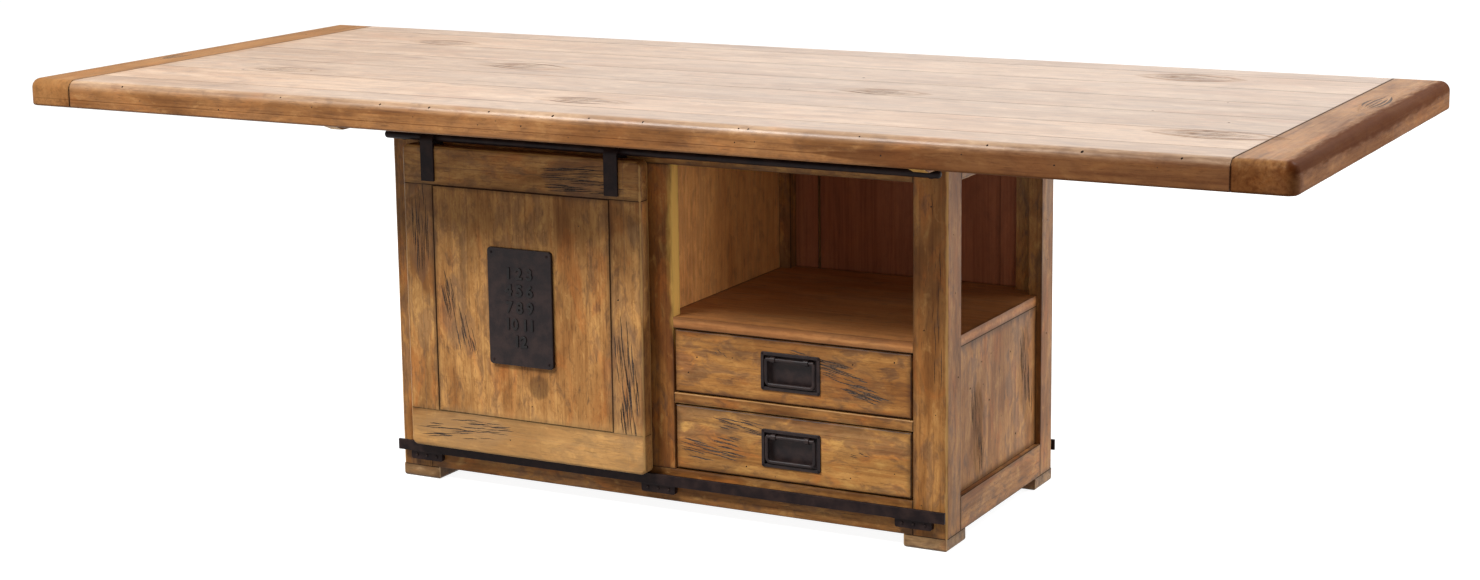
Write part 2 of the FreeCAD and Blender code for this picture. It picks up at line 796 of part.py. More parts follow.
def make_bail(name, z, turned):
    """Swinging handle: a round bar bent to a loop that hangs from its straight top length."""
    bail = new_body(name, "opening_centre", "-(cabinet_face + bail_stand)", z, turned)
    hinge_bar = [("0", "bail_pivot_rise", "bail_bar / 2")]
    pad_circles(bail, "YZ", hinge_bar, "2 * bail_half_span", symmetric=True)
    path = sketch_on(bail, "XZ")
    radius = value("bail_corner_radius")
    span = value("bail_half_span")
    top = value("bail_pivot_rise")
    low = value("bail_pivot_rise - bail_reach")
    left_turn = FreeCAD.Vector(-span + radius, low + radius, 0)
    right_turn = FreeCAD.Vector(span - radius, low + radius, 0)
    upright = FreeCAD.Vector(0, 0, 1)
    quarter = math.pi / 2
    stretches = [
        Part.LineSegment(FreeCAD.Vector(-span, top, 0), FreeCAD.Vector(-span, low + radius, 0)),
        Part.ArcOfCircle(Part.Circle(left_turn, upright, radius), 2 * quarter, 3 * quarter),
        Part.LineSegment(FreeCAD.Vector(-span + radius, low, 0), FreeCAD.Vector(span - radius, low, 0)),
        Part.ArcOfCircle(Part.Circle(right_turn, upright, radius), 3 * quarter, 4 * quarter),
        Part.LineSegment(FreeCAD.Vector(span, low + radius, 0), FreeCAD.Vector(span, top, 0)),
    ]
    for stretch in stretches:
        path.addGeometry(stretch, False)
    for first, first_end, second, second_end in ((0, 2, 1, 1), (2, 1, 1, 2), (2, 2, 3, 1), (4, 1, 3, 2)):
        path.addConstraint(Sketcher.Constraint("Tangent", first, first_end, second, second_end))
    bind_point(path, 0, 1, "-bail_half_span", "bail_pivot_rise")
    bind_point(path, 4, 2, "bail_half_span", "bail_pivot_rise")
    for arc in (1, 3):
        index = path.addConstraint(Sketcher.Constraint("Radius", arc, radius))
        bind(path, f"Constraints[{index}]", "bail_corner_radius")
    index = path.addConstraint(Sketcher.Constraint("DistanceY", -1, 1, 2, 1, low))
    bind(path, f"Constraints[{index}]", "bail_pivot_rise - bail_reach")
    path.addConstraint(Sketcher.Constraint("Vertical", 0))
    path.addConstraint(Sketcher.Constraint("Vertical", 4))
    section = sketch_on(bail, "XY", "bail_pivot_rise")
    draw_circle(section, "-bail_half_span", "0", "bail_bar / 2")
    pipe = bail.newObject("PartDesign::AdditivePipe", name + "_pipe")
    pipe.Profile = section
    pipe.Spine = path
    bail.Tip = pipe
    doc.recompute()
    keep(name, [bail])


runners = []
for side, turned in SIDES:
    runners += make_runners(side, turned)
    for level, (opening_low, opening_height) in DRAWERS.items():
        middle = f"{opening_low} + {opening_height} / 2"
        make_drawer_front(f"{side}_{level}_drawer_front", opening_low, opening_height, turned)
        make_drawer_box(f"{side}_{level}_drawer_box", opening_low, opening_height, turned)
        make_pull_plate(f"{side}_{level}_pull_plate", middle, turned)
        make_bail(f"{side}_{level}_bail", middle, turned)
keep("drawer_runners", runners)


# Sliding doors: full-width rails, stiles tenoned between them and a panel held in grooves
def make_door_rail(name, is_top, turned):
    """One rail, drawn with its outer long edge at zero and its inner edge upwards."""
    up = -1 if is_top else 1
    z = "door_top" if is_top else "door_low"
    rail = new_body(name, "-door_centre", "-door_back", z, turned)
    half = "door_width / 2"
    inner = f"{up} * door_rail_height"
    pad(rail, "XZ", [(f"-{half}", "0"), (half, "0"), (half, inner), (f"-{half}", inner)], "door_thickness")
    edge_x = value(half)
    face = -value("door_thickness")
    inner_level = up * value("door_rail_height")

    def outer_corner(edge):
        return lies_on(edge, "z", 0) and (lies_on(edge, "x", edge_x) or lies_on(edge, "x", -edge_x))

    def outer_arris(edge):
        return lies_on(edge, "y", face) and not lies_on(edge, "z", inner_level)

    round_edges(rail, "door_corner_radius", outer_corner)
    round_edges(rail, "door_edge_radius", outer_arris)
    middle = "(door_thickness - tenon_thickness) / 2"
    stile_middle = "(door_width - door_stile_width) / 2"
    root = f"{up} * (door_rail_height - tenon_length - groove_clearance)"
    for hand in BOTH:
        low = f"{hand} * {stile_middle} - tenon_width / 2"
        high = f"{hand} * {stile_middle} + tenon_width / 2"
        mortise = [(low, root), (high, root), (high, inner), (low, inner)]
        pocket(rail, "XZ", mortise, "tenon_thickness", offset=middle, reverse=True)
    root = f"{up} * (door_rail_height - panel_groove_depth)"
    half_opening = "(door_opening_width / 2 + panel_groove_depth)"
    groove = [
        (f"-{half_opening}", root),
        (half_opening, root),
        (half_opening, inner),
        (f"-{half_opening}", inner),
    ]
    middle = "(door_thickness - panel_tongue_thickness) / 2"
    pocket(rail, "XZ", groove, "panel_tongue_thickness", offset=middle, reverse=True)
    return rail


def make_door_stile(name, hand, turned):
    """One stile with a tenon at each end and the panel's groove along its inner edge."""
    x = f"-door_centre + {hand} * (door_width / 2)"
    stile = new_body(name, x, "-door_back", "door_low + door_rail_height", turned)
    inner = f"{-hand} * door_stile_width"
    outline = [("0", "0"), (inner, "0"), (inner, "door_opening_height"), ("0", "door_opening_height")]
    pad(stile, "XZ", outline, "door_thickness")
    face = -value("door_thickness")
    round_edges(stile, "door_edge_radius", lambda e: lies_on(e, "y", face) and lies_on(e, "x", 0))
    root = f"{-hand} * (door_stile_width - panel_groove_depth)"
    groove = [(inner, "0"), (root, "0"), (root, "door_opening_height"), (inner, "door_opening_height")]
    middle = "(door_thickness - panel_tongue_thickness) / 2"
    pocket(stile, "XZ", groove, "panel_tongue_thickness", offset=middle, reverse=True)
    outer_shoulder = f"{-hand} * tenon_shoulder"
    inner_shoulder = f"{-hand} * (door_stile_width - tenon_shoulder)"
    tenon = [
        (outer_shoulder, "-tenon_length"),
        (inner_shoulder, "-tenon_length"),
        (inner_shoulder, "door_opening_height + tenon_length"),
        (outer_shoulder, "door_opening_height + tenon_length"),
    ]
    middle = "(door_thickness - tenon_thickness) / 2"
    pad(stile, "XZ", tenon, "tenon_thickness", offset=middle)
    return stile


def make_door_panel(name, turned):
    """Flush panel with a thin seam round it and a tongue in the frame's grooves."""
    z = "door_low + door_height / 2"
    panel = new_body(name, "-door_centre", "-door_back", z, turned)
    field = centred("door_opening_width - 2 * panel_seam", "door_opening_height - 2 * panel_seam")
    pad(panel, "XZ", field, "panel_thickness", offset="door_thickness - panel_thickness")
    tongue = centred(
        "door_opening_width + 2 * panel_tongue_length", "door_opening_height + 2 * panel_tongue_length"
    )
    middle = "(door_thickness - panel_tongue_thickness) / 2"
    pad(panel, "XZ", tongue, "panel_tongue_thickness", offset=middle)
    keep(name, [panel])


def make_strap(name, hand, turned):
    """Flat iron strap: down the door's face, over the rod, and down the door's back."""
    x = f"-door_centre + {hand} * (door_width / 2 - strap_inset - strap_width / 2)"
    strap = new_body(name, x, "-rod_axis", "hook_height", turned)
    ring = [("0", "0", "hook_outer_radius"), ("0", "0", "hook_radius")]
    pad_circles(strap, "YZ", ring, "strap_width", symmetric=True)
    lower_half = rectangle("-2 * hook_outer_radius", "-2 * hook_outer_radius", "2 * hook_outer_radius", "0")
    pocket(strap, "YZ", lower_half, "2 * strap_width", symmetric=True)
    front_foot = "door_top - strap_front_overlap - hook_height"
    back_foot = "door_top - strap_back_overlap - hook_height"
    front_leg = rectangle("-hook_outer_radius", front_foot, "-hook_radius", "0")
    back_leg = rectangle("hook_radius", back_foot, "hook_outer_radius", "0")
    pad(strap, "YZ", front_leg, "strap_width", symmetric=True)
    pad(strap, "YZ", back_leg, "strap_width", symmetric=True)
    return strap


def make_plaque(name, turned):
    """Plain cast plaque on the middle of the panel."""
    z = "door_low + door_height / 2"
    plaque = new_body(name, "-door_centre", "-door_face", z, turned)
    pad(plaque, "XZ", centred("plaque_width", "plaque_height"), "plaque_thickness")
    half_width = value("plaque_width / 2")

    def corner(edge):
        upright = lies_on(edge, "x", half_width) or lies_on(edge, "x", -half_width)
        return upright and not lies_on(edge, "y", 0) and not lies_on(edge, "y", -value("plaque_thickness"))

    round_edges(plaque, "plaque_corner_radius", corner)
    round_edges(plaque, "plaque_edge_radius", lambda e: lies_on(e, "y", -value("plaque_thickness")))
    keep(name, [plaque])


def make_guide(name, hand, turned):
    """Thin plate on the door's back whose foot runs behind the bottom bar."""
    x = f"-door_centre + {hand} * (door_width / 2 - guide_inset) - guide_width / 2"
    y = "-door_back"
    z = "bar_top - guide_drop"
    height = "guide_drop + door_foot_gap + guide_overlap"
    return box(name, x, y, z, "guide_width", "guide_thickness", height, turned)


for side, turned in SIDES:
    door = f"{side}_door"
    rails = [make_door_rail(f"{door}_rail_{is_top}", is_top, turned) for is_top in (True, False)]
    keep(f"{door}_rails", rails)
    keep(f"{door}_stiles", [make_door_stile(f"{door}_stile_{hand}", hand, turned) for hand in BOTH])
    make_door_panel(f"{door}_panel", turned)
    keep(f"{door}_straps", [make_strap(f"{door}_strap_{hand}", hand, turned) for hand in BOTH])
    make_plaque(f"{door}_plaque", turned)
    keep(f"{door}_guides", [make_guide(f"{door}_guide_{hand}", hand, turned) for hand in BOTH])


# Rods on standoffs under the top, and flat bars on tabs along the foot of the cabinet
def make_rod(name, turned):
    rod = new_body(name, "0", "-rod_axis", "rod_height", turned)
    pad_circles(rod, "YZ", [("0", "0", "rod_radius")], "rod_length", symmetric=True)
    tip = value("rod_length / 2")
    round_edges(rod, "rod_end_radius", lambda e: lies_on(e, "x", tip) or lies_on(e, "x", -tip))
    keep(name, [rod])


def make_standoff(name, hand, turned):
    """Round standoff from a corner post, coped to the rod it carries."""
    x = f"{hand} * (cabinet_end - post_width / 2 + standoff_flange_thickness)"
    standoff = new_body(name, x, "-cabinet_face", "rod_height", turned)
    reach = "rod_axis - cabinet_face"
    pad_circles(standoff, "XZ", [("0", "0", "standoff_diameter / 2")], reach)
    flange = [("0", "0", "standoff_flange_diameter / 2")]
    pad_circles(standoff, "XZ", flange, "standoff_flange_thickness")
    pocket_circle(standoff, "YZ", f"-({reach})", "0", "rod_radius", "rod_diameter", symmetric=True)
    return standoff


def make_bar(name, turned):
    bar = new_body(name, "0", "-bar_back", "bar_low", turned)
    pad(bar, "XZ", centred("bar_length", "bar_height", v="bar_height / 2"), "bar_thickness")
    tip = value("bar_length / 2")
    face = -value("bar_thickness")

    def end_edge(edge):
        return lies_on(edge, "y", face) and (lies_on(edge, "x", tip) or lies_on(edge, "x", -tip))

    chamfer_edges(bar, "bar_end_chamfer", end_edge)
    keep(name, [bar])


def make_tab(name, index, turned):
    """Spacer tab screwed to the bottom rail, with the bar fixed to its upper part."""
    z = "bar_top - tab_top_drop"
    tab = new_body(name, f"{index} * tab_spacing", "-cabinet_face", z, turned)
    outline = rectangle("-tab_width / 2", "-tab_height", "tab_width / 2", "0")
    pad(tab, "XZ", outline, "bar_back - cabinet_face")
    half = value("tab_width / 2")
    foot = -value("tab_height")

    def low_corner(edge):
        return lies_on(edge, "z", foot) and (lies_on(edge, "x", half) or lies_on(edge, "x", -half))

    round_edges(tab, "tab_corner_radius", low_corner)
    return tab


standoffs = []
tabs = []
for side, turned in SIDES:
    make_rod(f"{side}_rod", turned)
    make_bar(f"{side}_guide_bar", turned)
    standoffs += [make_standoff(f"{side}_standoff_{hand}", hand, turned) for hand in BOTH]
    tabs += [make_tab(f"{side}_tab_{index}", index, turned) for index in (-1, 0, 1)]
keep("rod_standoffs", standoffs)
keep("bar_tabs", tabs)

doc.recompute()

# Every object is sound and every node is whole before any file is written
for thing in doc.Objects:
    faults = [state for state in thing.State if state in ("Invalid", "Error")]
    if faults:
        raise ValueError(f"{thing.Label}: {faults}")
for name, node in nodes.items():
    if node.Shape.isNull() or not node.Shape.isValid() or not node.Shape.Solids:
        raise ValueError(name + ": no sound solid")

os.makedirs("parts", exist_ok=True)
for name, node in nodes.items():
    node.Shape.exportStep(f"parts/{name}.step")
print(len(nodes), "nodes,", sum(len(node.Shape.Solids) for node in nodes.values()), "solids")
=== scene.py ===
import math
import random

import bmesh
import bpy
from mathutils import Matrix, Vector, noise


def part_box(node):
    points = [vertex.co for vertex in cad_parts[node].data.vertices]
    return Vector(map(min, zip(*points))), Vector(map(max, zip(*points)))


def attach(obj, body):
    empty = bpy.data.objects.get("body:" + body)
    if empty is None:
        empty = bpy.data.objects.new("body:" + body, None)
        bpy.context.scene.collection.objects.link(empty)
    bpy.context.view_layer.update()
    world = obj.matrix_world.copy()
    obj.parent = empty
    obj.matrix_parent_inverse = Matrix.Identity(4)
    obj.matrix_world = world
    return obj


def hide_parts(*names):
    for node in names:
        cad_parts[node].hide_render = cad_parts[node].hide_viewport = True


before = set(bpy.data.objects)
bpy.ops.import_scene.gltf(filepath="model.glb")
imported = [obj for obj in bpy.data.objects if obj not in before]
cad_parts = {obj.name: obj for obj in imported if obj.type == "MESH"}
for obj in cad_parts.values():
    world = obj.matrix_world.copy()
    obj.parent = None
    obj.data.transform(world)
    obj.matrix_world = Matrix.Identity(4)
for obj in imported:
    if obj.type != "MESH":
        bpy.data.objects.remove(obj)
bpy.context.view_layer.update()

# Plank top: seven planks of solid wood between two breadboard ends, all 52 mm thick. The planks' tongues
# sit in the breadboards' grooves. The wood is stained, distressed by hand, then waxed and rubbed pale.
MM = 0.001
ALONG_X = Vector((1, 0, 0))
ALONG_Y = Vector((0, 1, 0))
ALONG_Z = Vector((0, 0, 1))
AXES = (ALONG_X, ALONG_Y, ALONG_Z)


def add_node(tree, kind, inputs=(), **settings):
    """Adds a shader node, sets it up, and feeds its inputs from sockets or plain values."""
    node = tree.nodes.new("ShaderNode" + kind)
    for name, setting in settings.items():
        setattr(node, name, setting)
    for socket, source in dict(inputs).items():
        if isinstance(source, bpy.types.NodeSocket):
            tree.links.new(source, node.inputs[socket])
        else:
            node.inputs[socket].default_value = source
    return node


def reckon(tree, operation, first, *others):
    """One sum on two values, or on more of them by turns."""
    for other in others or (0.0,):
        first = add_node(tree, "Math", {0: first, 1: other}, operation=operation).outputs[0]
    return first


def times(tree, first, second):
    """The product of two values."""
    return reckon(tree, "MULTIPLY", first, second)


def flip(tree, value):
    """What is left of 1."""
    return reckon(tree, "SUBTRACT", 1.0, value)


def reckon_places(tree, operation, first, second=(0.0, 0.0, 0.0)):
    """One sum on two places, axis by axis."""
    return add_node(tree, "VectorMath", {0: first, 1: second}, operation=operation).outputs[0]


def scale(tree, vector, amount):
    """A colour or a place times one amount."""
    return add_node(tree, "VectorMath", {0: vector, "Scale": amount}, operation="SCALE").outputs[0]


def between(tree, value, low, high):
    """Rises softly from 0 to 1 while the value goes from low to high."""
    inputs = {"Value": value, "From Min": low, "From Max": high}
    return add_node(tree, "MapRange", inputs, interpolation_type="SMOOTHSTEP").outputs["Result"]


def tint(tree, amount, under, over, blend_type="MIX"):
    """Lays one colour over another."""
    inputs = {0: amount, 6: under, 7: over}
    return add_node(tree, "Mix", inputs, data_type="RGBA", blend_type=blend_type).outputs[2]


def streaks(tree, place, stretch, detail=4.0, distortion=0.0, roughness=0.55):
    """Noise drawn out along the grain: stretch gives its waves per metre along, across and through."""
    inputs = {"Vector": reckon_places(tree, "MULTIPLY", place, stretch), "Scale": 1.0}
    inputs.update({"Detail": detail, "Distortion": distortion, "Roughness": roughness})
    return add_node(tree, "TexNoise", inputs).outputs[0]


def own_place(tree):
    """Each point's place on its piece."""
    return add_node(tree, "TexCoord").outputs["Object"]


def board_place(tree, name="grain"):
    """A place that write_places gave to each point of a board."""
    return add_node(tree, "Attribute", attribute_name=name).outputs["Vector"]


def start_group(name, inputs=()):
    """Starts a shader node group with named inputs and returns its tree and what it is given."""
    tree = bpy.data.node_groups.new(name, "ShaderNodeTree")
    for socket, value in dict(inputs).items():
        kind = {3: "Vector", 4: "Color"}[len(value)] if isinstance(value, tuple) else "Float"
        made = tree.interface.new_socket(name=socket, in_out="INPUT", socket_type="NodeSocket" + kind)
        made.default_value = value
    return tree, tree.nodes.new("NodeGroupInput").outputs


def finish_group(tree, results):
    """Puts out a group's results by their names and returns the group."""
    for name in results:
        kind = "Color" if name == "Color" else "Float"
        tree.interface.new_socket(name=name, in_out="OUTPUT", socket_type="NodeSocket" + kind)
    out = tree.nodes.new("NodeGroupOutput").inputs
    for name, result in results.items():
        tree.links.new(result, out[name])
    return tree


def make_figure_group():
    """Growth rings, fibres, pores and blotches of one board, in the board's own grain places."""
    noises = {
        "Blotch": ((3.2, 11.0, 11.0), 4.0, 0.8),
        "Smoke": ((7.0, 20.0, 20.0), 6.0, 1.0, 0.62),
        "Cloud": ((22.0, 48.0, 48.0), 6.0, 0.6, 0.62),
        "Streak": ((3.5, 85.0, 85.0), 4.0, 0.4),
        "Fibre": ((5.0, 210.0, 210.0), 5.0, 0.3),
        "Pores": ((38.0, 760.0, 760.0), 2.0),
    }
    tree, _ = start_group("wood_figure")
    place = board_place(tree)
    marks = {name: streaks(tree, place, *shape) for name, shape in noises.items()}
    shift = reckon_places(tree, "SUBTRACT", place, board_place(tree, "middle"))
    marks["Tone"] = add_node(tree, "SeparateXYZ", {0: shift}).outputs[1]
    tilt = add_node(tree, "Mapping", {"Vector": place, "Rotation": (0.02, 0.035, 0.05)}).outputs[0]
    rings = {"Vector": tilt, "Scale": 26.0, "Distortion": 5.0, "Detail": 3.0, "Detail Scale": 4.0}
    wave = add_node(tree, "TexWave", rings, wave_type="RINGS", rings_direction="X", wave_profile="SAW")
    marks["Rings"] = wave.outputs["Fac"]
    return finish_group(tree, marks)


def arris_distance(tree, middle, half):
    """Distance from the nearest arris of a box that is known by its middle and half size."""
    depth = reckon_places(tree, "SUBTRACT", half, reckon_places(tree, "ABSOLUTE", middle))
    parts = add_node(tree, "SeparateXYZ", {0: depth}).outputs
    least, most, total = (reckon(tree, operation, *parts) for operation in ("MINIMUM", "MAXIMUM", "ADD"))
    return reckon(tree, "SUBTRACT", total, least, most)


EDGE_WIDTHS = ("Rub Width", "Glaze Width", "Joint Width")


def make_arris_group():
    """How near a point is to its board's arrises. Free ones take the arris colour: rubbed pale, but dark
    with glaze and painted gap shade on the drawer fronts. The others are joint lines.
    """
    tree, given = start_group("arris_wear", dict.fromkeys(EDGE_WIDTHS, 0.0))
    rub_width, glaze_width, joint_width = (given[name] for name in EDGE_WIDTHS)
    names = ("grain", "middle", "half", "free_middle", "free_half")
    place, *boxes = [board_place(tree, name) for name in names]
    uneven = times(tree, streaks(tree, place, (22.0, 60.0, 60.0), 3.0), 1.7)
    rub_reach = times(tree, rub_width, uneven)
    near_any = arris_distance(tree, *boxes[:2])
    near_free = arris_distance(tree, *boxes[2:])
    rubbed = flip(tree, between(tree, near_free, times(tree, rub_reach, 0.35), rub_reach))
    glazed = flip(tree, between(tree, near_any, 0.0, times(tree, glaze_width, uneven)))
    joined = between(tree, reckon(tree, "SUBTRACT", near_free, near_any), 0.001, 0.004)
    line = flip(tree, between(tree, near_any, times(tree, joint_width, 0.35), joint_width))
    return finish_group(tree, {"Rubbed": rubbed, "Glazed": glazed, "Joint": times(tree, joined, line)})


def stain(red, green, blue):
    """A stain's colour from its screen values."""
    return tuple((part / 255) ** 2.2 for part in (red, green, blue)) + (1.0,)


WOOD_COLOURS = ("Honey", "Brown", "Glaze", "Worn", "Arris")


def make_wood_group(figure, arris):
    """Stained, glazed and waxed wood: colour, roughness and relief."""
    amounts = {
        "Blotching": 0.95, "Board Variety": 0.12, "Smokiness": 0.3, "Clouding": 0.35, "Hue Variety": 0.45,
        "Streaks": 0.3, "Rings": 0.3, "Pores": 0.5, "Joint Line": 0.9, "Edge Glaze": 0.6, "Edge Wear": 0.3,
        "Rub Width": 0.003, "Glaze Width": 0.012, "Joint Width": 0.0013,
    }
    tree, given = start_group("aged_wood", dict.fromkeys(WOOD_COLOURS, (1, 1, 1, 1)) | amounts)
    honey, brown, glaze, worn, arris_wear_and_shade = (given[name] for name in WOOD_COLOURS)
    marks = add_node(tree, "Group", node_tree=figure).outputs
    edges = add_node(tree, "Group", {name: given[name] for name in EDGE_WIDTHS}, node_tree=arris).outputs
    blotch = times(tree, between(tree, marks["Blotch"], 0.38, 0.66), given["Blotching"])
    colour = tint(tree, blotch, honey, brown)
    variety = times(tree, marks["Tone"], given["Board Variety"])
    colour = scale(tree, colour, reckon(tree, "ADD", variety, 1.0))
    silvered = reckon(tree, "SUBTRACT", marks["Cloud"], marks["Blotch"])
    layers = (
        (marks["Smoke"], 0.5, 0.32, given["Hue Variety"], stain(182, 106, 50), "MIX"),
        (silvered, 0.0, 0.14, given["Hue Variety"], stain(106, 80, 64), "MIX"),
        (marks["Smoke"], 0.5, 0.74, given["Smokiness"], glaze, "MIX"),
        (marks["Cloud"], 0.47, 0.3, given["Clouding"], worn, "MIX"),
        (marks["Cloud"], 0.5, 0.72, given["Clouding"], glaze, "MIX"),
        (marks["Rings"], 0.55, 1.0, given["Rings"], brown, "MIX"),
        (marks["Streak"], 0.5, 0.72, given["Streaks"], brown, "MULTIPLY"),
        (marks["Fibre"], 0.42, 0.75, 0.3, brown, "MULTIPLY"),
        (marks["Pores"], 0.6, 0.68, given["Pores"], glaze, "MIX"),
    )
    for mark, low, high, amount, shade, blend_type in layers:
        share = times(tree, between(tree, mark, low, high), amount)
        colour = tint(tree, share, colour, shade, blend_type)
    pores = share
    edge_layers = (
        ("Glazed", "Edge Glaze", glaze),
        ("Rubbed", "Edge Wear", arris_wear_and_shade),
        ("Joint", "Joint Line", (0.012, 0.007, 0.004, 1)),
    )
    for edge, amount, shade in edge_layers:
        share = times(tree, edges[edge], given[amount])
        colour = tint(tree, share, colour, shade)
    gap = share
    dull = reckon(tree, "ADD", times(tree, marks["Blotch"], 0.22), times(tree, marks["Fibre"], 0.16), 0.24)
    height = reckon(tree, "SUBTRACT", times(tree, marks["Fibre"], 0.5), pores)
    height = reckon(tree, "ADD", height, times(tree, marks["Blotch"], 2.0))
    return finish_group(tree, {"Color": colour, "Roughness": dull, "Height": height, "Gap": gap})


def make_wear_and_light_patch_group():
    """One patch, for weathering and for painted light and shade: a spindle with pointed ends and a broken
    rim, full of lines that bow along it.
    """
    inputs = dict.fromkeys(("Centre", "Reach", "Along"), (1, 1, 1)) | {"Outline": 0.0, "Fill": 0.0}
    tree, given = start_group("wear_and_painted_light_patch", inputs)
    way = given["Along"]
    spot = reckon_places(tree, "SUBTRACT", own_place(tree), given["Centre"])
    spot = reckon_places(tree, "DIVIDE", spot, given["Reach"])
    along = add_node(tree, "VectorMath", {0: spot, 1: way}, operation="DOT_PRODUCT").outputs["Value"]
    aside = reckon_places(tree, "SUBTRACT", spot, scale(tree, way, along))
    across = add_node(tree, "VectorMath", {0: aside}, operation="LENGTH").outputs["Value"]
    width = reckon(tree, "MAXIMUM", flip(tree, times(tree, along, along)), 0.02)
    bow = reckon(tree, "DIVIDE", across, width)
    fray = times(tree, streaks(tree, board_place(tree), (25.0, 130.0, 130.0)), 0.8)
    ragged = reckon(tree, "ADD", bow, fray)
    fade = reckon(tree, "SUBTRACT", 1.7, times(tree, given["Outline"], 0.5))
    inside = flip(tree, between(tree, ragged, 0.95, fade))
    rim = times(tree, between(tree, ragged, 0.75, 1.05), given["Outline"])
    bowed = add_node(tree, "CombineXYZ", {0: along, 1: bow, 2: across}).outputs[0]
    ridge = reckon(tree, "SUBTRACT", streaks(tree, bowed, (1.1, 3.6, 1.0), 2.0), 0.5)
    lines = flip(tree, between(tree, reckon(tree, "ABSOLUTE", ridge), 0.015, 0.06))
    lines = times(tree, reckon(tree, "MAXIMUM", lines, rim), 0.75)
    mask = times(tree, inside, reckon(tree, "MAXIMUM", given["Fill"], lines))
    return finish_group(tree, {"Mask": mask})


wood_group = make_wood_group(make_figure_group(), make_arris_group())
wear_and_light_patch_group = make_wear_and_light_patch_group()


def start_material(name):
    """An empty material and its node tree."""
    material = bpy.data.materials.new(name)
    material.use_nodes = True
    material.node_tree.nodes.clear()
    return material, material.node_tree


def relief(tree, height, depth, strength):
    """The bump of a fine surface."""
    return add_node(tree, "Bump", {"Height": height, "Distance": depth, "Strength": strength}).outputs[0]


def finish_material(tree, inputs):
    """Puts the material's surface on its output."""
    surface = add_node(tree, "BsdfPrincipled", inputs)
    add_node(tree, "OutputMaterial", {"Surface": surface.outputs[0]})


def wood_material(name, stains, patches=(), edge_stains=(), gloss=0.15, wax=0.0, **amounts):
    """A waxed wood with patches of weathering and of painted light and shade. Its stains, honey, brown,
    glaze and worn, are screen values.
    """
    material, tree = start_material(name)
    stains = [stain(*colour) for colour in stains]
    if edge_stains:
        x, _, height = add_node(tree, "SeparateXYZ", {0: own_place(tree)}).outputs
        on_face = between(tree, height, 0.75, 0.768)
        stains = [tint(tree, on_face, stain(*edge), face) for edge, face in zip(edge_stains, stains)]
        waxed_part = between(tree, height, 0.758, 0.7695)
        right_part = times(tree, between(tree, x, -1.3, 0.3), 0.55 * wax)
        wax = times(tree, waxed_part, reckon(tree, "ADD", right_part, 0.45 * wax))
    inputs = dict(zip(WOOD_COLOURS, (*stains, stains[3])))
    inputs.update({amount.replace("_", " "): value for amount, value in amounts.items()})
    wood = add_node(tree, "Group", inputs, node_tree=wood_group).outputs
    colour = wood["Color"]
    bare = wood["Gap"]
    for centre, along, length, width, shade, strength, fill, outline in patches:
        reach = Vector([length if abs(part) > 0.5 else width for part in along]) * MM / 2
        inputs = {"Centre": centre * MM, "Reach": reach, "Along": along, "Outline": outline, "Fill": fill}
        patch = add_node(tree, "Group", inputs, node_tree=wear_and_light_patch_group)
        amount = times(tree, patch.outputs["Mask"], strength)
        colour = tint(tree, amount, colour, stain(*shade))
        bare = reckon(tree, "MAXIMUM", bare, amount)
    rough = reckon(tree, "ADD", wood["Roughness"], times(tree, bare, 0.55))
    inputs = {"Base Color": colour, "Roughness": rough, "Specular IOR Level": gloss}
    inputs["Normal"] = relief(tree, wood["Height"], 0.5 * MM, 0.6)
    if edge_stains:
        inputs.update({"Coat Weight": times(tree, flip(tree, bare), wax), "Coat Roughness": 0.3})
    finish_material(tree, inputs)
    return material


# The dark, dull inside of scratches and worm holes
scratch_floor, crack_tree = start_material("scratch_floor")
speckle = streaks(crack_tree, own_place(crack_tree), (300.0, 300.0, 300.0))
speckle = between(crack_tree, speckle, 0.35, 0.65)
crack_colour = tint(crack_tree, speckle, stain(40, 29, 23), stain(84, 66, 52))
finish_material(crack_tree, {"Base Color": crack_colour, "Roughness": 0.85})
FIELD_PLANKS = 5


def lift_boards(node):
    """Copies a node's boards as welded meshes. Field planks touch: their slice along Y tells them apart."""
    slices = FIELD_PLANKS if node == "field_planks" else 1
    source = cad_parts[node].data
    low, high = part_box(node)
    step = (high.y - low.y) / slices
    places = [tuple(round(part, 6) for part in vertex.co) for vertex in source.vertices]
    owner = {place: place for place in places}

    def root(place):
        while owner[place] != place:
            owner[place] = owner[owner[place]]
            place = owner[place]
        return place

    faces = [[places[i] for i in face.vertices] for face in source.polygons]
    if slices == 1:
        for corners in faces:
            for corner in corners[1:]:
                owner[root(corner)] = root(corners[0])
    groups = {}
    for face, corners in zip(source.polygons, faces):
        inside = face.center.y - face.normal.y * 0.1 * MM
        key = int((inside - low.y) / step) if slices > 1 else root(corners[0])
        groups.setdefault(key, []).append(corners)

    boards = []
    for group in sorted(groups.values(), key=lambda group: min(map(min, group))):
        board = bmesh.new()
        made = {}
        for corners in group:
            for corner in corners:
                if corner not in made:
                    made[corner] = board.verts.new(corner)
            if len(set(corners)) == len(corners):
                board.faces.new([made[corner] for corner in corners])
        bmesh.ops.dissolve_limit(board, angle_limit=math.radians(0.4), verts=board.verts, edges=board.edges)
        boards.append(board)
    return boards


def box_round(places):
    """The low and high corners of the box round some places."""
    return [Vector([pick(place[i] for place in places) for i in range(3)]) for pick in (min, max)]


def face_box(board):
    """The box of a board's show faces, which leaves out tongues and tenons in its middle layer."""
    places = [vertex.co.copy() for vertex in board.verts]
    low, high = box_round(places)
    size = high - low
    thin = min(range(3), key=lambda i: size[i])
    skin = 0.16 * size[thin]
    return box_round([p for p in places if min(p[thin] - low[thin], high[thin] - p[thin]) < skin])


def find_free_box(box, boxes):
    """A board's box with each side that meets another board pushed well out, so that no wear falls there."""
    free = box[0].copy(), box[1].copy()
    for other in boxes:
        shared = [min(box[1][i], other[1][i]) - max(box[0][i], other[0][i]) for i in range(3)]
        for axis in range(3):
            if min(shared[axis - 1], shared[axis - 2]) > MM:
                for end, push in ((0, -100 * MM), (1, 100 * MM)):
                    if abs(other[1 - end][axis] - box[end][axis]) < 2 * MM:
                        free[end][axis] = box[end][axis] + push
    return free


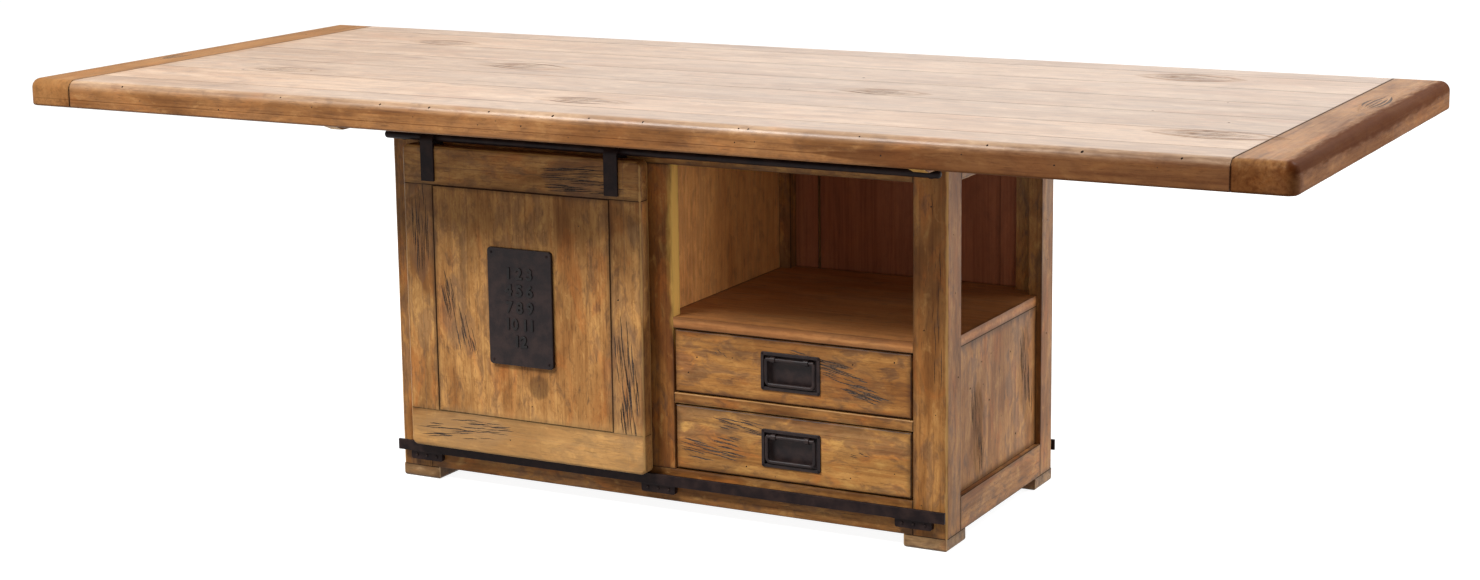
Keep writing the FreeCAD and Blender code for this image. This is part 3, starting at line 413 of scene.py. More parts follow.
CUT_PITCH = 28 * MM
RUB_BAND = 5 * MM


def rub_arrises(board, box, free, grain_axis, wear, seed):
    """Cuts a board across every few centimetres and rubs its free arrises down unevenly."""
    low, high = box
    for axis in range(3):
        length = high[axis] - low[axis]
        cuts = [low[axis] + RUB_BAND, high[axis] - RUB_BAND] if length > 3 * RUB_BAND else []
        if axis == grain_axis:
            count = int(length / CUT_PITCH)
            cuts += [low[axis] + length * i / count for i in range(1, count)]
        for cut in cuts:
            geometry = board.verts[:] + board.edges[:] + board.faces[:]
            way = AXES[axis]
            bmesh.ops.bisect_plane(board, geom=geometry, plane_co=way * cut, plane_no=way, dist=1e-5)
    for vertex in board.verts:
        place = vertex.co
        depths = [min(place[i] - free[0][i], free[1][i] - place[i]) for i in range(3)]
        near = sorted(range(3), key=lambda i: depths[i])
        reach = depths[near[1]]
        if reach < RUB_BAND * 0.95 and depths[near[0]] > -1e-5:
            rough = 0.5 + 0.5 * noise.noise(place * 14 + seed) + 0.35 * noise.noise(place * 55 + seed)
            amount = wear * max(0.0, rough) * (1 - reach / RUB_BAND)
            for axis in near[:2]:
                vertex.co[axis] += amount if place[axis] - low[axis] < high[axis] - place[axis] else -amount


def join_rings(shape, rings):
    """Joins each ring of points to the next with a band of faces."""
    for lower, upper in zip(rings, rings[1:]):
        for i in range(len(lower)):
            j = (i + 1) % len(lower)
            shape.faces.new((lower[i], lower[j], upper[j], upper[i]))


def add_slit(cutter, line, outward, width, depth):
    """One tapering V-shaped slit along a line of points on the wood's surface."""
    lift = 0.4 * MM
    open_width = width * (1 + lift / depth)
    rows = []
    for i, point in enumerate(line[1:-1], start=1):
        swell = math.sin(math.pi * i / (len(line) - 1)) ** 0.6
        side = outward.cross(line[i + 1] - line[i - 1]).normalized() * open_width * swell / 2
        mouth = point + outward * lift
        corners = (mouth + side, point - outward * depth * swell, mouth - side)
        rows.append([cutter.verts.new(corner) for corner in corners])
    tips = [cutter.verts.new(line[i] + outward * lift) for i in (0, -1)]
    join_rings(cutter, rows)
    for i in range(3):
        j = (i + 1) % 3
        cutter.faces.new((tips[0], rows[0][j], rows[0][i]))
        cutter.faces.new((tips[1], rows[-1][i], rows[-1][j]))


def add_pit(cutter, centre, outward, radius, depth):
    """One worm hole or nail pit: a small cone with its point in the wood."""
    sides = 7
    lift = 0.4 * MM
    along = outward.orthogonal().normalized()
    across = outward.cross(along)
    turns = [2 * math.pi * i / sides for i in range(sides)]
    wide = radius * (1 + lift / depth)
    rim = [along * math.cos(turn) * wide + across * math.sin(turn) * wide * 0.8 for turn in turns]
    ring = [cutter.verts.new(centre + outward * lift + spoke) for spoke in rim]
    tip = cutter.verts.new(centre - outward * depth)
    cutter.faces.new(ring)
    for i in range(sides):
        cutter.faces.new((ring[(i + 1) % sides], ring[i], tip))


def scratches(centre, outward, along, length, width, count, strokes, lean, tilt, thick, seed):
    """A patch of short hand-cut scratches; lean slants the patch and tilt the scratches, in degrees."""

    def cut_into(cutter):
        draw = random.Random(seed)
        side = outward.cross(along)
        patch_along = along * math.cos(math.radians(lean)) + side * math.sin(math.radians(lean))
        patch_side = outward.cross(patch_along)
        for i in range(count):
            u = draw.uniform(-0.5, 0.5) * length
            v = ((i + 0.5) / count - 0.5) * width * (1 - 0.5 * abs(u) / length)
            turn = math.radians(tilt + draw.uniform(-3, 3))
            way = along * math.cos(turn) + side * math.sin(turn)
            spot = (centre + patch_along * u + patch_side * v) * MM
            reach = draw.uniform(*strokes) * MM
            bend = side * draw.uniform(-0.6, 0.6) * MM
            line = [spot + way * reach * (t / 6 - 0.5) + bend * math.sin(t * 2.1 + i) for t in range(7)]
            add_slit(cutter, line, outward, draw.uniform(0.5, 1.1) * thick * MM, draw.uniform(0.8, 1.5) * MM)

    return centre, cut_into


EYE_SLIT = 5.4


def eye_patch(centre, along, length, width, count, seed):
    """A lens of long slits that bow round a common middle, as where a knot's grain was dug out."""

    def cut_into(cutter):
        draw = random.Random(seed)
        side = ALONG_Z.cross(along)
        for i in range(count):
            bow = ((i + 0.5) / count - 0.5) * width
            start = draw.uniform(0.02, 0.3)
            end = draw.uniform(0.65, 0.98)
            line = []
            for step in range(9):
                t = start + (end - start) * step / 8
                swing = bow * math.sin(math.pi * t) + draw.uniform(-0.5, 0.5)
                line.append((centre + along * (t - 0.5) * length + side * swing) * MM)
            width_here = draw.uniform(0.5, 1.0) * EYE_SLIT * MM
            add_slit(cutter, line, ALONG_Z, width_here, draw.uniform(0.8, 1.4) * MM)

    return centre, cut_into


def pits(places, outward, radius, seed):
    """Single worm holes at chosen places."""
    marks = []
    for i, place in enumerate(places):

        def cut_into(cutter, place=place, i=i):
            size = random.Random(seed + i).uniform(0.7, 1.3) * radius * MM
            add_pit(cutter, place * MM, outward, size, 2.2 * size)

        marks.append((place, cut_into))
    return marks


def on_side(sign, x, y, z):
    """A place in front, or with sign -1 the place it takes when the table is turned round."""
    return Vector((sign * x, sign * y, z))


def face_pits(sign, face, places, radius, seed):
    """Worm holes on a front face, or on the rear face that answers it."""
    return pits([on_side(sign, x, face, z) for x, z in places], -ALONG_Y * sign, radius, seed)


def write_places(mesh, box, free, grain_axis, seed):
    """Gives each point its place in the board's grain, and in the boxes that its wear is reckoned from."""
    order = [(grain_axis + i) % 3 for i in range(3)]
    draw = random.Random(seed)
    shift = [draw.uniform(-0.9, 0.9) for _ in order]
    values = {}
    for prefix, (low, high) in (("", box), ("free_", free)):
        middle, half = (low + high) / 2, (high - low) / 2
        values[prefix + "middle"] = [vertex.co[i] - middle[i] for vertex in mesh.vertices for i in order]
        values[prefix + "half"] = [half[i] for i in order] * len(mesh.vertices)
    values["grain"] = [part + shift[i % 3] for i, part in enumerate(values["middle"])]
    for name, numbers in values.items():
        mesh.attributes.new(name, "FLOAT_VECTOR", "POINT").data.foreach_set("vector", numbers)


def shaped_mesh(thing):
    """The mesh of a piece with its modifiers applied."""
    return bpy.data.meshes.new_from_object(thing.evaluated_get(bpy.context.evaluated_depsgraph_get()))


def settle(thing):
    """Gives a piece clean, face-weighted normals, with edges of 38 degrees and more left sharp."""
    thing.modifiers.new("normals", "WEIGHTED_NORMAL").keep_sharp = True
    thing.data.shade_smooth()
    thing.data.set_sharp_from_angle(angle=math.radians(38))
    mesh = shaped_mesh(thing)
    thing.modifiers.clear()
    thing.data = mesh


def put(name, data):
    """Puts a mesh, a text, a lamp or a camera in the scene."""
    thing = bpy.data.objects.new(name, data)
    bpy.context.scene.collection.objects.link(thing)
    return thing


def show(name, shape, materials):
    """Puts a piece in the scene with its materials."""
    mesh = bpy.data.meshes.new(name)
    shape.to_mesh(mesh)
    shape.free()
    for material in materials:
        mesh.materials.append(material)
    return put(name, mesh)


def carve(thing, marks):
    """Cuts the marks' hollows out of a piece; their walls take its second material."""
    cutter = bmesh.new()
    for _, cut_into in marks:
        cut_into(cutter)
    bmesh.ops.recalc_face_normals(cutter, faces=cutter.faces)
    for face in cutter.faces:
        face.material_index = 1
    tool = show("cutter", cutter, thing.data.materials[:])
    hollow = thing.modifiers.new("hollows", "BOOLEAN")
    hollow.object = tool
    hollow.use_self = True
    carved = shaped_mesh(thing)
    thing.modifiers.clear()
    thing.data = carved
    bpy.data.objects.remove(tool)


NOT_BOARDS = ("rod", "bar", "tab", "strap", "plaque", "guide", "pull", "bail", "box")
board_boxes = []
for board_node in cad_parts:
    if not any(word in board_node for word in NOT_BOARDS):
        for lifted in lift_boards(board_node):
            board_boxes.append(face_box(lifted))
            lifted.free()


def dress(
    node, material, body="cabinet", grain_axis=None, marks=(), wear=0.6, name=None,
):
    """Replaces a node's boards with worn and carved copies that keep their exact places.

    A node with one board gives NODE_worn. Others give their name in the singular, with a number.
    """
    pieces = []
    boards = lift_boards(node)
    for number, board in enumerate(boards, start=1):
        box = face_box(board)
        size = box[1] - box[0]
        axis = max(range(3), key=lambda i: size[i]) if grain_axis is None else grain_axis
        free = find_free_box(box, board_boxes)
        rub_arrises(board, box, free, axis, wear * MM, Vector((number * 3.7, len(node), 0)))
        ending = "worn" if len(boards) == 1 else number
        piece = show(f"{name or node.rstrip('s')}_{ending}", board, [material, scratch_floor])
        slack = Vector((MM, MM, MM))
        low, high = box[0] - slack, box[1] + slack
        own = [mark for mark in marks if all(low[i] <= mark[0][i] * MM <= high[i] for i in range(3))]
        if own:
            carve(piece, own)
        write_places(piece.data, box, free, axis, f"{node} {number}")
        settle(piece)
        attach(piece, body)
        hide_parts(node)
        pieces.append(piece)
    return pieces


TOP_FACE = 770
EDGE_FACE = -500
PATCH_SHADE = (92, 68, 50)
EYE_SHADE = (104, 76, 54)
TOP_EYES = (
    ((-811, 290), ALONG_X, 190, 96, 4, 0.35),
    ((-440, 20), ALONG_X, 230, 116, 5, 0.4),
    ((-92, -345), ALONG_X, 220, 96, 5, 0.4),
    ((354, -40), ALONG_X, 200, 96, 5, 0.6),
    ((797, 350), ALONG_X, 220, 136, 7, 0.65),
    ((1046, -285), ALONG_X, 250, 120, 7, 0.8),
    ((1188, 160), ALONG_Y, 240, 56, 5, 0.35),
    ((-1195, -110), ALONG_Y, 180, 44, 4, 0.3),
    ((-860, -200), ALONG_X, 190, 80, 4, 0.3),
)
top_marks = []
top_patches = []
for (x, y), along, length, width, count, strength in TOP_EYES:
    centre = Vector((x, y, TOP_FACE))
    top_marks.append(eye_patch(centre, along, length * 0.85, width * 0.8, count, seed=x))
    top_patches.append((centre, along, length, width, EYE_SHADE, strength, 0.05, 0.8))
# Dark bands on the top's ends and on the right part of the front edge: partly dark glaze and partly painted
# shade, stronger on the right end than on the left.
END_GLAZE_AND_PAINTED_SHADE = (68, 33, 7)
for sign, strength in ((1, 0.9), (-1, 0.4)):
    glaze_and_shade_parts = (
        (on_side(sign, 1240, 0, 768), ALONG_Y, 1900, 56, strength, 0.9),
        (on_side(sign, 1250, 0, 740), ALONG_Y, 2600, 110, strength * 0.6, 0.8),
        (on_side(sign, 1080, EDGE_FACE, 734), ALONG_X, 1300, 76, 0.75, 0.8),
    )
    top_patches += [(*part, END_GLAZE_AND_PAINTED_SHADE, share, fill, 0.0) for *part, share, fill in glaze_and_shade_parts]
# A brown wash over the top's left end: painted shade that keeps that end less bright than the rest.
LEFT_END_PAINTED_SHADE = Vector((-1195, 0, TOP_FACE))
top_patches.append((LEFT_END_PAINTED_SHADE, ALONG_Y, 2400, 150, (146, 106, 66), 0.4, 0.9, 0.0))
TOP_HOLES = (
    (181, -70), (955, 70), (1026, -152), (-796, -195), (-934, -230), (868, -70), (240, 120), (-1180, 300),
)
top_marks += pits([Vector((x, y, TOP_FACE)) for x, y in TOP_HOLES], ALONG_Z, 2.6, 31)
EDGE_HOLES = (
    (-965, 741), (-567, 752), (-347, 747), (-211, 741), (-174, 750), (-122, 744), (-27, 730), (35, 745),
    (153, 749), (295, 742), (332, 745), (560, 737), (700, 748), (856, 741), (1023, 749), (-780, 735),
)
for sign, seed in ((1, 41), (-1, 61)):
    top_marks += face_pits(sign, EDGE_FACE, EDGE_HOLES, 1.4, seed)
ROUND_OVER = 18 * (1 - math.sqrt(0.5))
NICKS = (-1010, -640, -420, -315, -190, -60, 12, 118, 300, 318, 520, 742, 900, 1060)
for sign in (1, -1):
    nick_places = [on_side(sign, x, EDGE_FACE + ROUND_OVER, TOP_FACE - ROUND_OVER) for x in NICKS]
    top_marks += pits(nick_places, (ALONG_Z - ALONG_Y * sign).normalized(), 2.4, 81)

FACE_STAINS = ((180, 147, 115), (148, 113, 81), (84, 57, 39), (204, 174, 143))
BREADBOARD_STAINS_PAINTED_SHADE = ((146, 103, 60), (110, 73, 40), (58, 36, 20), (174, 136, 92))
EDGE_STAINS = ((164, 114, 70), (116, 74, 40), (58, 35, 20), (188, 142, 92))
top_wood = wood_material(
    "waxed_top", FACE_STAINS, top_patches, EDGE_STAINS, wax=1.0,
    Blotching=0.75, Board_Variety=0.2, Clouding=0.3, Hue_Variety=0.15, Streaks=0.45, Rings=0.25, Pores=0.4,
    Joint_Line=0.5, Joint_Width=0.0018, Edge_Glaze=0.1,
)
# The breadboards' face stain is darker than the planks': painted shade for the weaker sheen of their cross
# grain.
breadboard_wood_painted_shade = wood_material(
    "waxed_breadboard", BREADBOARD_STAINS_PAINTED_SHADE, top_patches, EDGE_STAINS, gloss=0.06, wax=0.25,
    Blotching=0.7, Smokiness=0.35, Hue_Variety=0.2, Streaks=0.4, Pores=0.3,
    Joint_Width=0.0022, Edge_Glaze=0.2, Edge_Wear=0.2,
)
for plank_side in ("front", "rear"):
    dress(f"edge_plank_{plank_side}", top_wood, marks=top_marks, wear=0.9)
dress("field_planks", top_wood, marks=top_marks, wear=0.4)
for plank_side in ("left", "right"):
    dress(f"breadboard_{plank_side}", breadboard_wood_painted_shade, marks=top_marks, wear=0.9)

# Cleats: two bars screwed across the underside, just outside the cabinet's ends. Their sides are stained
# with the top and their sawn, bevelled ends are left bare.
bare_end = wood_material(
    "bare_cleat_end", ((214, 170, 96), (186, 138, 70), (120, 80, 40), (226, 190, 120)),
    Blotching=0.6, Smokiness=0.1, Clouding=0.2, Rings=0.2, Pores=0.4, Edge_Glaze=0.1, Edge_Wear=0.2,
)
for cleat in dress("top_cleats", top_wood, wear=0.5, name="top_cleats"):
    cleat.data.materials.append(bare_end)
    for face in cleat.data.polygons:
        if abs(face.normal.y) > 0.3:
            face.material_index = 2

# Cabinet frame: L-shaped corner posts on block feet, rails tenoned between them, a divider stile on each
# long side and panels let into the ends. Honey-brown stain under a dark glaze, worn on every arris.
FRAME_FACE = -250
POST_END = 570
POST_HOLES = (
    (-216, 456), (-196, 371), (-203, 304), (214, 510), (216, 294), (225, 114), (217, 434), (-226, 560),
)
FACE_HOLES = ((539, 610), (526, 393), (521, 80), (548, 245))
frame_marks = []
for sign in (1, -1):
    end_holes = [on_side(sign, POST_END, y, z) for y, z in POST_HOLES]
    frame_marks += pits(end_holes, ALONG_X * sign, 1.6, 101)
    frame_marks += face_pits(sign, FRAME_FACE, FACE_HOLES, 1.5, 111)
    outward = -ALONG_Y * sign
    on_post = on_side(sign, 548, FRAME_FACE, 470)
    frame_marks.append(scratches(on_post, outward, ALONG_Z, 300, 22, 9, (30, 90), 2, 0, 1.2, 5))
    on_rail = on_side(sign, 300, FRAME_FACE, 50)
    frame_marks.append(scratches(on_rail, outward, ALONG_X, 160, 18, 7, (20, 60), 0, 3, 1.2, 8))
FRAME_STAINS = ((168, 119, 68), (120, 76, 38), (54, 33, 19), (200, 152, 92))
frame_wood = wood_material(
    "waxed_frame", FRAME_STAINS,
    Smokiness=0.45, Clouding=0.3, Edge_Glaze=0.4, Edge_Wear=0.75, Rub_Width=0.006,
)
for post in ("front_left", "front_right", "rear_left", "rear_right"):
    dress(f"post_{post}", frame_wood, grain_axis=2, marks=frame_marks)
# The divider's stain is darker than the frame's: painted shade from the proud door beside it. The pale strip
# down its side by the niche is partly bare, worn wood and partly painted light.
bare_and_painted_light_side = (232, 182, 96)
divider_wear_and_light_patches = [
    (on_side(sign, 44, -236, 510), ALONG_Z, 600, 50, bare_and_painted_light_side, 0.9, 0.9, 0.0) for sign in (1, -1)
]
divider_wood_painted_light_and_shade = wood_material(
    "waxed_divider_painted_light_and_shade", ((158, 106, 56), (108, 64, 32), (48, 28, 16), (196, 146, 84)), divider_wear_and_light_patches,
    Smokiness=0.45, Clouding=0.4, Edge_Glaze=0.35, Edge_Wear=0.75, Rub_Width=0.006,
)
dress("divider_stiles", divider_wood_painted_light_and_shade, marks=frame_marks)
rail_wood = wood_material(
    "waxed_rail", FRAME_STAINS,
    Smokiness=0.5, Clouding=0.4, Edge_Glaze=0.45, Edge_Wear=0.35,
)
for rail in ("long_top_rails", "long_bottom_rails", "end_top_rails", "end_bottom_rails", "drawer_rails"):
    dress(rail, rail_wood, marks=frame_marks)
foot_wood = wood_material(
    "scuffed_foot", ((160, 126, 88), (118, 88, 58), (60, 42, 28), (178, 146, 108)),
    Blotching=0.9, Smokiness=0.6, Clouding=0.5, Pores=0.4, Edge_Glaze=0.3, Edge_Wear=0.6,
)
dress("block_feet", foot_wood, grain_axis=0, name="block_foot", wear=0.9)

# End panels: one board let into each end of the frame. Each is weathered in two tall groups of scratches,
# under the niche.
PANEL_FACE = 560
PANEL_HOLES = ((-30, 308), (-73, 302), (-65, 259), (-38, 224), (-126, 265), (62, 291), (20, 180), (90, 130))
panel_patches = []
panel_marks = []
for sign in (1, -1):
    outward = ALONG_X * sign
    for y, z, lean, seed in ((-90, 178, 17, 21), (138, 232, 20, 23)):
        centre = on_side(sign, PANEL_FACE, y, z)
        panel_marks.append(scratches(centre, outward, ALONG_Z, 130, 34, 22, (34, 84), lean, 8, 2.5, seed))
        panel_patches.append((centre, ALONG_Z, 190, 64, PATCH_SHADE, 0.7, 0.35, 0.0))
    panel_marks += pits([on_side(sign, PANEL_FACE, y, z) for y, z in PANEL_HOLES], outward, 1.9, 121)
panel_wood = wood_material(
    "waxed_end_panel", FRAME_STAINS, panel_patches,
    Blotching=0.85, Smokiness=0.35, Glaze_Width=0.02,
)
dress("end_panels", panel_wood, grain_axis=2, marks=panel_marks)

# Inside of the cabinet: niche shelves, the partition between the bays, floor, bay panels and runners.
# Plain boards with less glaze and no distressing. The partition, floor and runners take a stain much
# lighter than the frame's, as painted light for the shaded inside. The bay panels keep the frame's stain.
INSIDE_STAINS_PAINTED_LIGHT = ((222, 156, 92), (190, 124, 68), (104, 62, 36), (232, 180, 112))
SHELF_STAINS = ((188, 131, 80), (160, 104, 62), (86, 53, 32), (146, 96, 57))
INSIDE_LOOK = {
    "Blotching": 0.6, "Smokiness": 0.25, "Clouding": 0.2, "Hue Variety": 0.2, "Streaks": 0.2, "Pores": 0.3,
}
# Painted light: the inside stain is lighter than the frame's, standing for light that the shaded inside
# lacks.
inside_wood_painted_light = wood_material("inside_stain_painted_light", INSIDE_STAINS_PAINTED_LIGHT, **INSIDE_LOOK, Edge_Glaze=0.3, Edge_Wear=0.4)
shelf_wood = wood_material("shelf_stain", SHELF_STAINS, **INSIDE_LOOK, Edge_Glaze=0.65, Edge_Wear=0.15)
for shelf in ("niche_shelf_left", "niche_shelf_right"):
    dress(shelf, shelf_wood, wear=0.4)
for inner in ("partition", "cabinet_floor", "drawer_runners"):
    dress(inner, inside_wood_painted_light, wear=0.4)
dress("bay_panels", frame_wood, wear=0.4)

# Drawers: inset fronts with eased edges over a plain grooved box, four alike. The fronts carry the
# strongest distressing: groups of short scratches rubbed full of dark glaze.


def distress(sign, face, groups, spread, shade, strength, fill):
    """Groups of scratches on a front or rear face, and a weathered patch of the wood round each."""
    marks = []
    patches = []
    for (x, z), way, length, width, *strokes in groups:
        centre = on_side(sign, x, face, z)
        along = way * sign if way is ALONG_X else way
        marks.append(scratches(centre, -ALONG_Y * sign, along, length, width, *strokes))
        patches.append((centre, way, length * 1.4, width * spread, shade, strength, fill, 0.0))
    return marks, patches


DRAWER_SCRATCHES = (
    ((330, 318), ALONG_X, 100, 18, 12, (24, 60), -12, -10, 2.2, 51),
    ((376, 290), ALONG_X, 110, 34, 24, (22, 60), -24, -11, 2.4, 53),
    ((420, 264), ALONG_X, 76, 26, 20, (18, 44), -22, -10, 2.6, 55),
    ((190, 180), ALONG_X, 120, 26, 18, (24, 66), -4, -8, 2.2, 57),
    ((112, 135), ALONG_X, 110, 44, 28, (24, 66), 8, -7, 2.4, 59),
    ((392, 156), ALONG_X, 60, 12, 4, (8, 22), -4, -8, 2.0, 61),
    ((140, 312), ALONG_X, 50, 10, 3, (5, 14), 0, -40, 2.2, 63),
)
DRAWER_HOLES = (
    (152, 306), (80, 300), (62, 270), (390, 318), (470, 330), (178, 108), (236, 96), (385, 112), (470, 130),
)
drawer_marks = []
drawer_patches = []
for sign in (1, -1):
    marks, patches = distress(sign, FRAME_FACE, DRAWER_SCRATCHES, 2.4, PATCH_SHADE, 0.55, 0.35)
    drawer_marks += marks + face_pits(sign, FRAME_FACE, DRAWER_HOLES, 1.7, 131)
    drawer_patches += patches
DRAWER_STAINS = {
    "lower": ((184, 134, 76), (142, 96, 50), (62, 40, 24), (210, 164, 94)),
    "upper": ((176, 124, 68), (132, 84, 44), (62, 37, 23), (204, 150, 86)),
}
# The drawer fronts' dark arris colour, with strong narrow edge wear and a wide edge glaze, draws a dark rim
# round each front: dark glaze in its edges, and painted shade of the gaps round it.
for level, stains in DRAWER_STAINS.items():
    drawer_wood = wood_material(
        f"waxed_{level}_drawer_front", stains, drawer_patches, Arris=stain(34, 18, 12),
        Blotching=0.85, Hue_Variety=0.5, Pores=0.4, Edge_Wear=0.85, Rub_Width=0.0035, Glaze_Width=0.016,
    )
    for side in ("front", "rear"):
        drawer = f"{side}_{level}_drawer"
        dress(f"{drawer}_front", drawer_wood, body=drawer, marks=drawer_marks)

# Drawer boxes: grooved sides, back and bottom of thin plain boards, seen only when a drawer is out. They
# are sanded and oiled, and have neither glaze nor distressing.
box_wood, box_tree = start_material("drawer_box_wood")
box_grain = streaks(box_tree, own_place(box_tree), (60.0, 6.0, 140.0), 5.0, 0.5)
box_colour = tint(box_tree, between(box_tree, box_grain, 0.35, 0.7), stain(190, 140, 84), stain(138, 90, 48))
box_relief = relief(box_tree, box_grain, 0.4 * MM, 0.4)
box_rough = reckon(box_tree, "ADD", times(box_tree, box_grain, 0.2), 0.42)
finish_material(box_tree, {"Base Color": box_colour, "Roughness": box_rough, "Normal": box_relief})
for side in ("front", "rear"):
    for level in ("lower", "upper"):
        box_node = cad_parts[f"{side}_{level}_drawer_box"]
        box_node.data.materials.clear()
        box_node.data.materials.append(box_wood)

# Sliding doors: two full-width rails with stiles tenoned between them round a flush panel. The glaze
# lies dark in the joints, and grey weathering shows on the stiles where scratches were dug in.
SIDES = (("front", 1), ("rear", -1))
DOOR_FACE = -288
DOOR_SCRATCHES = (
    ((-135, 618), ALONG_X, 120, 50, 26, (40, 110), 6, 3, 2.2, 71),
    ((-120, 598), ALONG_X, 120, 16, 9, (30, 80), 0, 2, 1.9, 72),
    ((-487, 505), ALONG_Z, 160, 38, 20, (40, 110), 0, 0, 1.9, 73),
    ((-45, 245), ALONG_Z, 200, 46, 32, (36, 110), 4, 5, 2.3, 75),
    ((-400, 118), ALONG_X, 150, 40, 22, (30, 84), 6, 4, 2.0, 77),
    ((-352, 126), ALONG_X, 80, 24, 9, (22, 56), 4, 3, 1.8, 78),
    ((-418, 345), ALONG_Z, 110, 32, 18, (36, 76), 16, 12, 2.2, 79),
    ((-385, 305), ALONG_Z, 70, 20, 9, (28, 58), 22, 14, 1.9, 83),
)
DOOR_HOLES = ((-140, 530), (-250, 180), (-60, 400), (-300, 110))
KNOT_WAYS = (ALONG_Z, ALONG_X, (ALONG_X + ALONG_Z).normalized(), (ALONG_X - ALONG_Z).normalized())
GREYED = (102, 80, 66)
KNOT_SHADE = (50, 34, 26)
# A dark band over the door panel's top: painted shade under the table top's overhang.
PAINTED_SHADE_UNDER_TOP = (78, 44, 22)
# A pale wash along the door's bottom rail: painted light where the low door is lit best.
PAINTED_LIGHT_ON_RAIL = (222, 174, 112)
door_marks = []
door_patches = []
for sign in (1, -1):
    marks, patches = distress(sign, DOOR_FACE, DOOR_SCRATCHES, 2, GREYED, 0.65, 0.45)
    door_marks += marks + face_pits(sign, DOOR_FACE, DOOR_HOLES, 1.5, 141)
    knot = on_side(sign, -234, DOOR_FACE, 218)
    patches += [(knot, way, 50, 46, KNOT_SHADE, 0.2, 0.8, 0.0) for way in KNOT_WAYS]
    patches.append((on_side(sign, -262, DOOR_FACE, 550), ALONG_X, 520, 150, PAINTED_SHADE_UNDER_TOP, 0.35, 0.8, 0.0))
    patches.append((on_side(sign, -180, DOOR_FACE, 112), ALONG_X, 1100, 110, PAINTED_LIGHT_ON_RAIL, 0.42, 0.65, 0.0))
    door_patches += patches
door_wood = wood_material(
    "waxed_door", ((184, 135, 80), (128, 84, 46), (56, 36, 22), (212, 164, 100)), door_patches,
    Blotching=0.9, Hue_Variety=0.4, Rings=0.35, Edge_Glaze=0.45, Edge_Wear=0.5, Rub_Width=0.005,
)
door_back = wood_material(
    "plain_door_back", ((160, 96, 66), (132, 76, 52), (90, 50, 36), (170, 108, 76)), gloss=0.08,
    Blotching=0.5, Clouding=0.1, Hue_Variety=0.1, Streaks=0.2, Rings=0.2, Pores=0.2,
    Joint_Line=0.5, Edge_Glaze=0.2, Edge_Wear=0.1,
)
for side, sign in SIDES:
    door = f"{side}_door"
    boards = dress(f"{door}_panel", door_wood, body=door, grain_axis=2, marks=door_marks)
    for part in ("rails", "stiles"):
        boards += dress(f"{door}_{part}", door_wood, body=door, marks=door_marks)
    for board in boards:
        board.data.materials.append(door_back)
        for face in board.data.polygons:
            if face.normal.y * sign > 0.7 and face.material_index == 0:
                face.material_index = 2

# Ironwork: rods on coped standoffs, flat bars on spacer tabs, saddle straps, bail pulls and guides. All
# of it is blackened iron with a fine cast skin and softly broken edges.


def make_iron_group():
    """Blackened iron: faint mottling, brown where it was handled."""
    tree, _ = start_group("blackened_iron")
    place = own_place(tree)
    mottle = streaks(tree, place, (45.0, 45.0, 45.0), 5.0)
    skin = streaks(tree, place, (700.0, 700.0, 700.0), 3.0)
    colour = tint(tree, between(tree, mottle, 0.35, 0.7), stain(28, 20, 21), stain(46, 35, 33))
    rough = reckon(tree, "ADD", times(tree, mottle, 0.3), 0.3)
    height = reckon(tree, "ADD", skin, mottle)
    return finish_group(tree, {"Color": colour, "Roughness": rough, "Height": height})


def iron_material(name, depth, gloss, shade=1.0):
    """Blackened iron with its depth of cast skin, its gloss and its shade."""
    material, tree = start_material(name)
    iron = add_node(tree, "Group", node_tree=iron_group).outputs
    inputs = {"Base Color": scale(tree, iron["Color"], shade), "Roughness": iron["Roughness"]}
    inputs.update({"Normal": relief(tree, iron["Height"], depth, 0.7), "Specular IOR Level": gloss})
    finish_material(tree, inputs)
    return material


iron_group = make_iron_group()
cast_iron = iron_material("cast_iron", 0.4 * MM, 0.2)
bar_iron = iron_material("bar_iron", 0.15 * MM, 0.1)


def blacken(node, material, edge):
    """Gives an iron node its finish and broken edges."""
    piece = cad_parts[node]
    piece.data.materials.clear()
    piece.data.materials.append(material)
    piece.modifiers.new("weld", "WELD").merge_threshold = 0.01 * MM
    if edge:
        broken = piece.modifiers.new("broken_edges", "BEVEL")
        broken.width = edge * MM
        broken.segments = 2
        broken.angle_limit = math.radians(50)
    piece.modifiers.new("normals", "WEIGHTED_NORMAL")


IRON_PARTS = (
    ("rod", bar_iron, 0), ("guide_bar", bar_iron, 0.5), ("door_straps", bar_iron, 0.5),
    ("door_plaque", cast_iron, 0), ("door_guides", bar_iron, 0.2),
    ("lower_pull_plate", cast_iron, 0.3), ("lower_bail", cast_iron, 0),
    ("upper_pull_plate", cast_iron, 0.3), ("upper_bail", cast_iron, 0),
)
for side in ("front", "rear"):
    for part, iron, edge in IRON_PARTS:
        blacken(f"{side}_{part}", iron, edge)
blacken("rod_standoffs", bar_iron, 0.4)
blacken("bar_tabs", bar_iron, 0.5)

# Screws and pins: three slotted screws through each spacer tab, and domed pins at the corners of the
# plaques and of the pull plates. Blackened with the ironwork.


def add_head(heads, centre, outward, radius, height):
    """One domed head: a rim just sunk in its seat, a shoulder and a crown."""
    sides = 14
    along = outward.orthogonal().normalized()
    across = outward.cross(along)
    rings = []
    for reach, rise in ((1.0, -0.2), (1.0, 0.25), (0.86, 0.7), (0.5, 0.95)):
        ring = []
        for i in range(sides):
            turn = 2 * math.pi * i / sides
            spoke = (along * math.cos(turn) + across * math.sin(turn)) * reach * radius
            ring.append(heads.verts.new((centre + spoke + outward * rise * height) * MM))
        rings.append(ring)
    join_rings(heads, rings)
    heads.faces.new(rings[-1])
    heads.faces.new(rings[0][::-1])


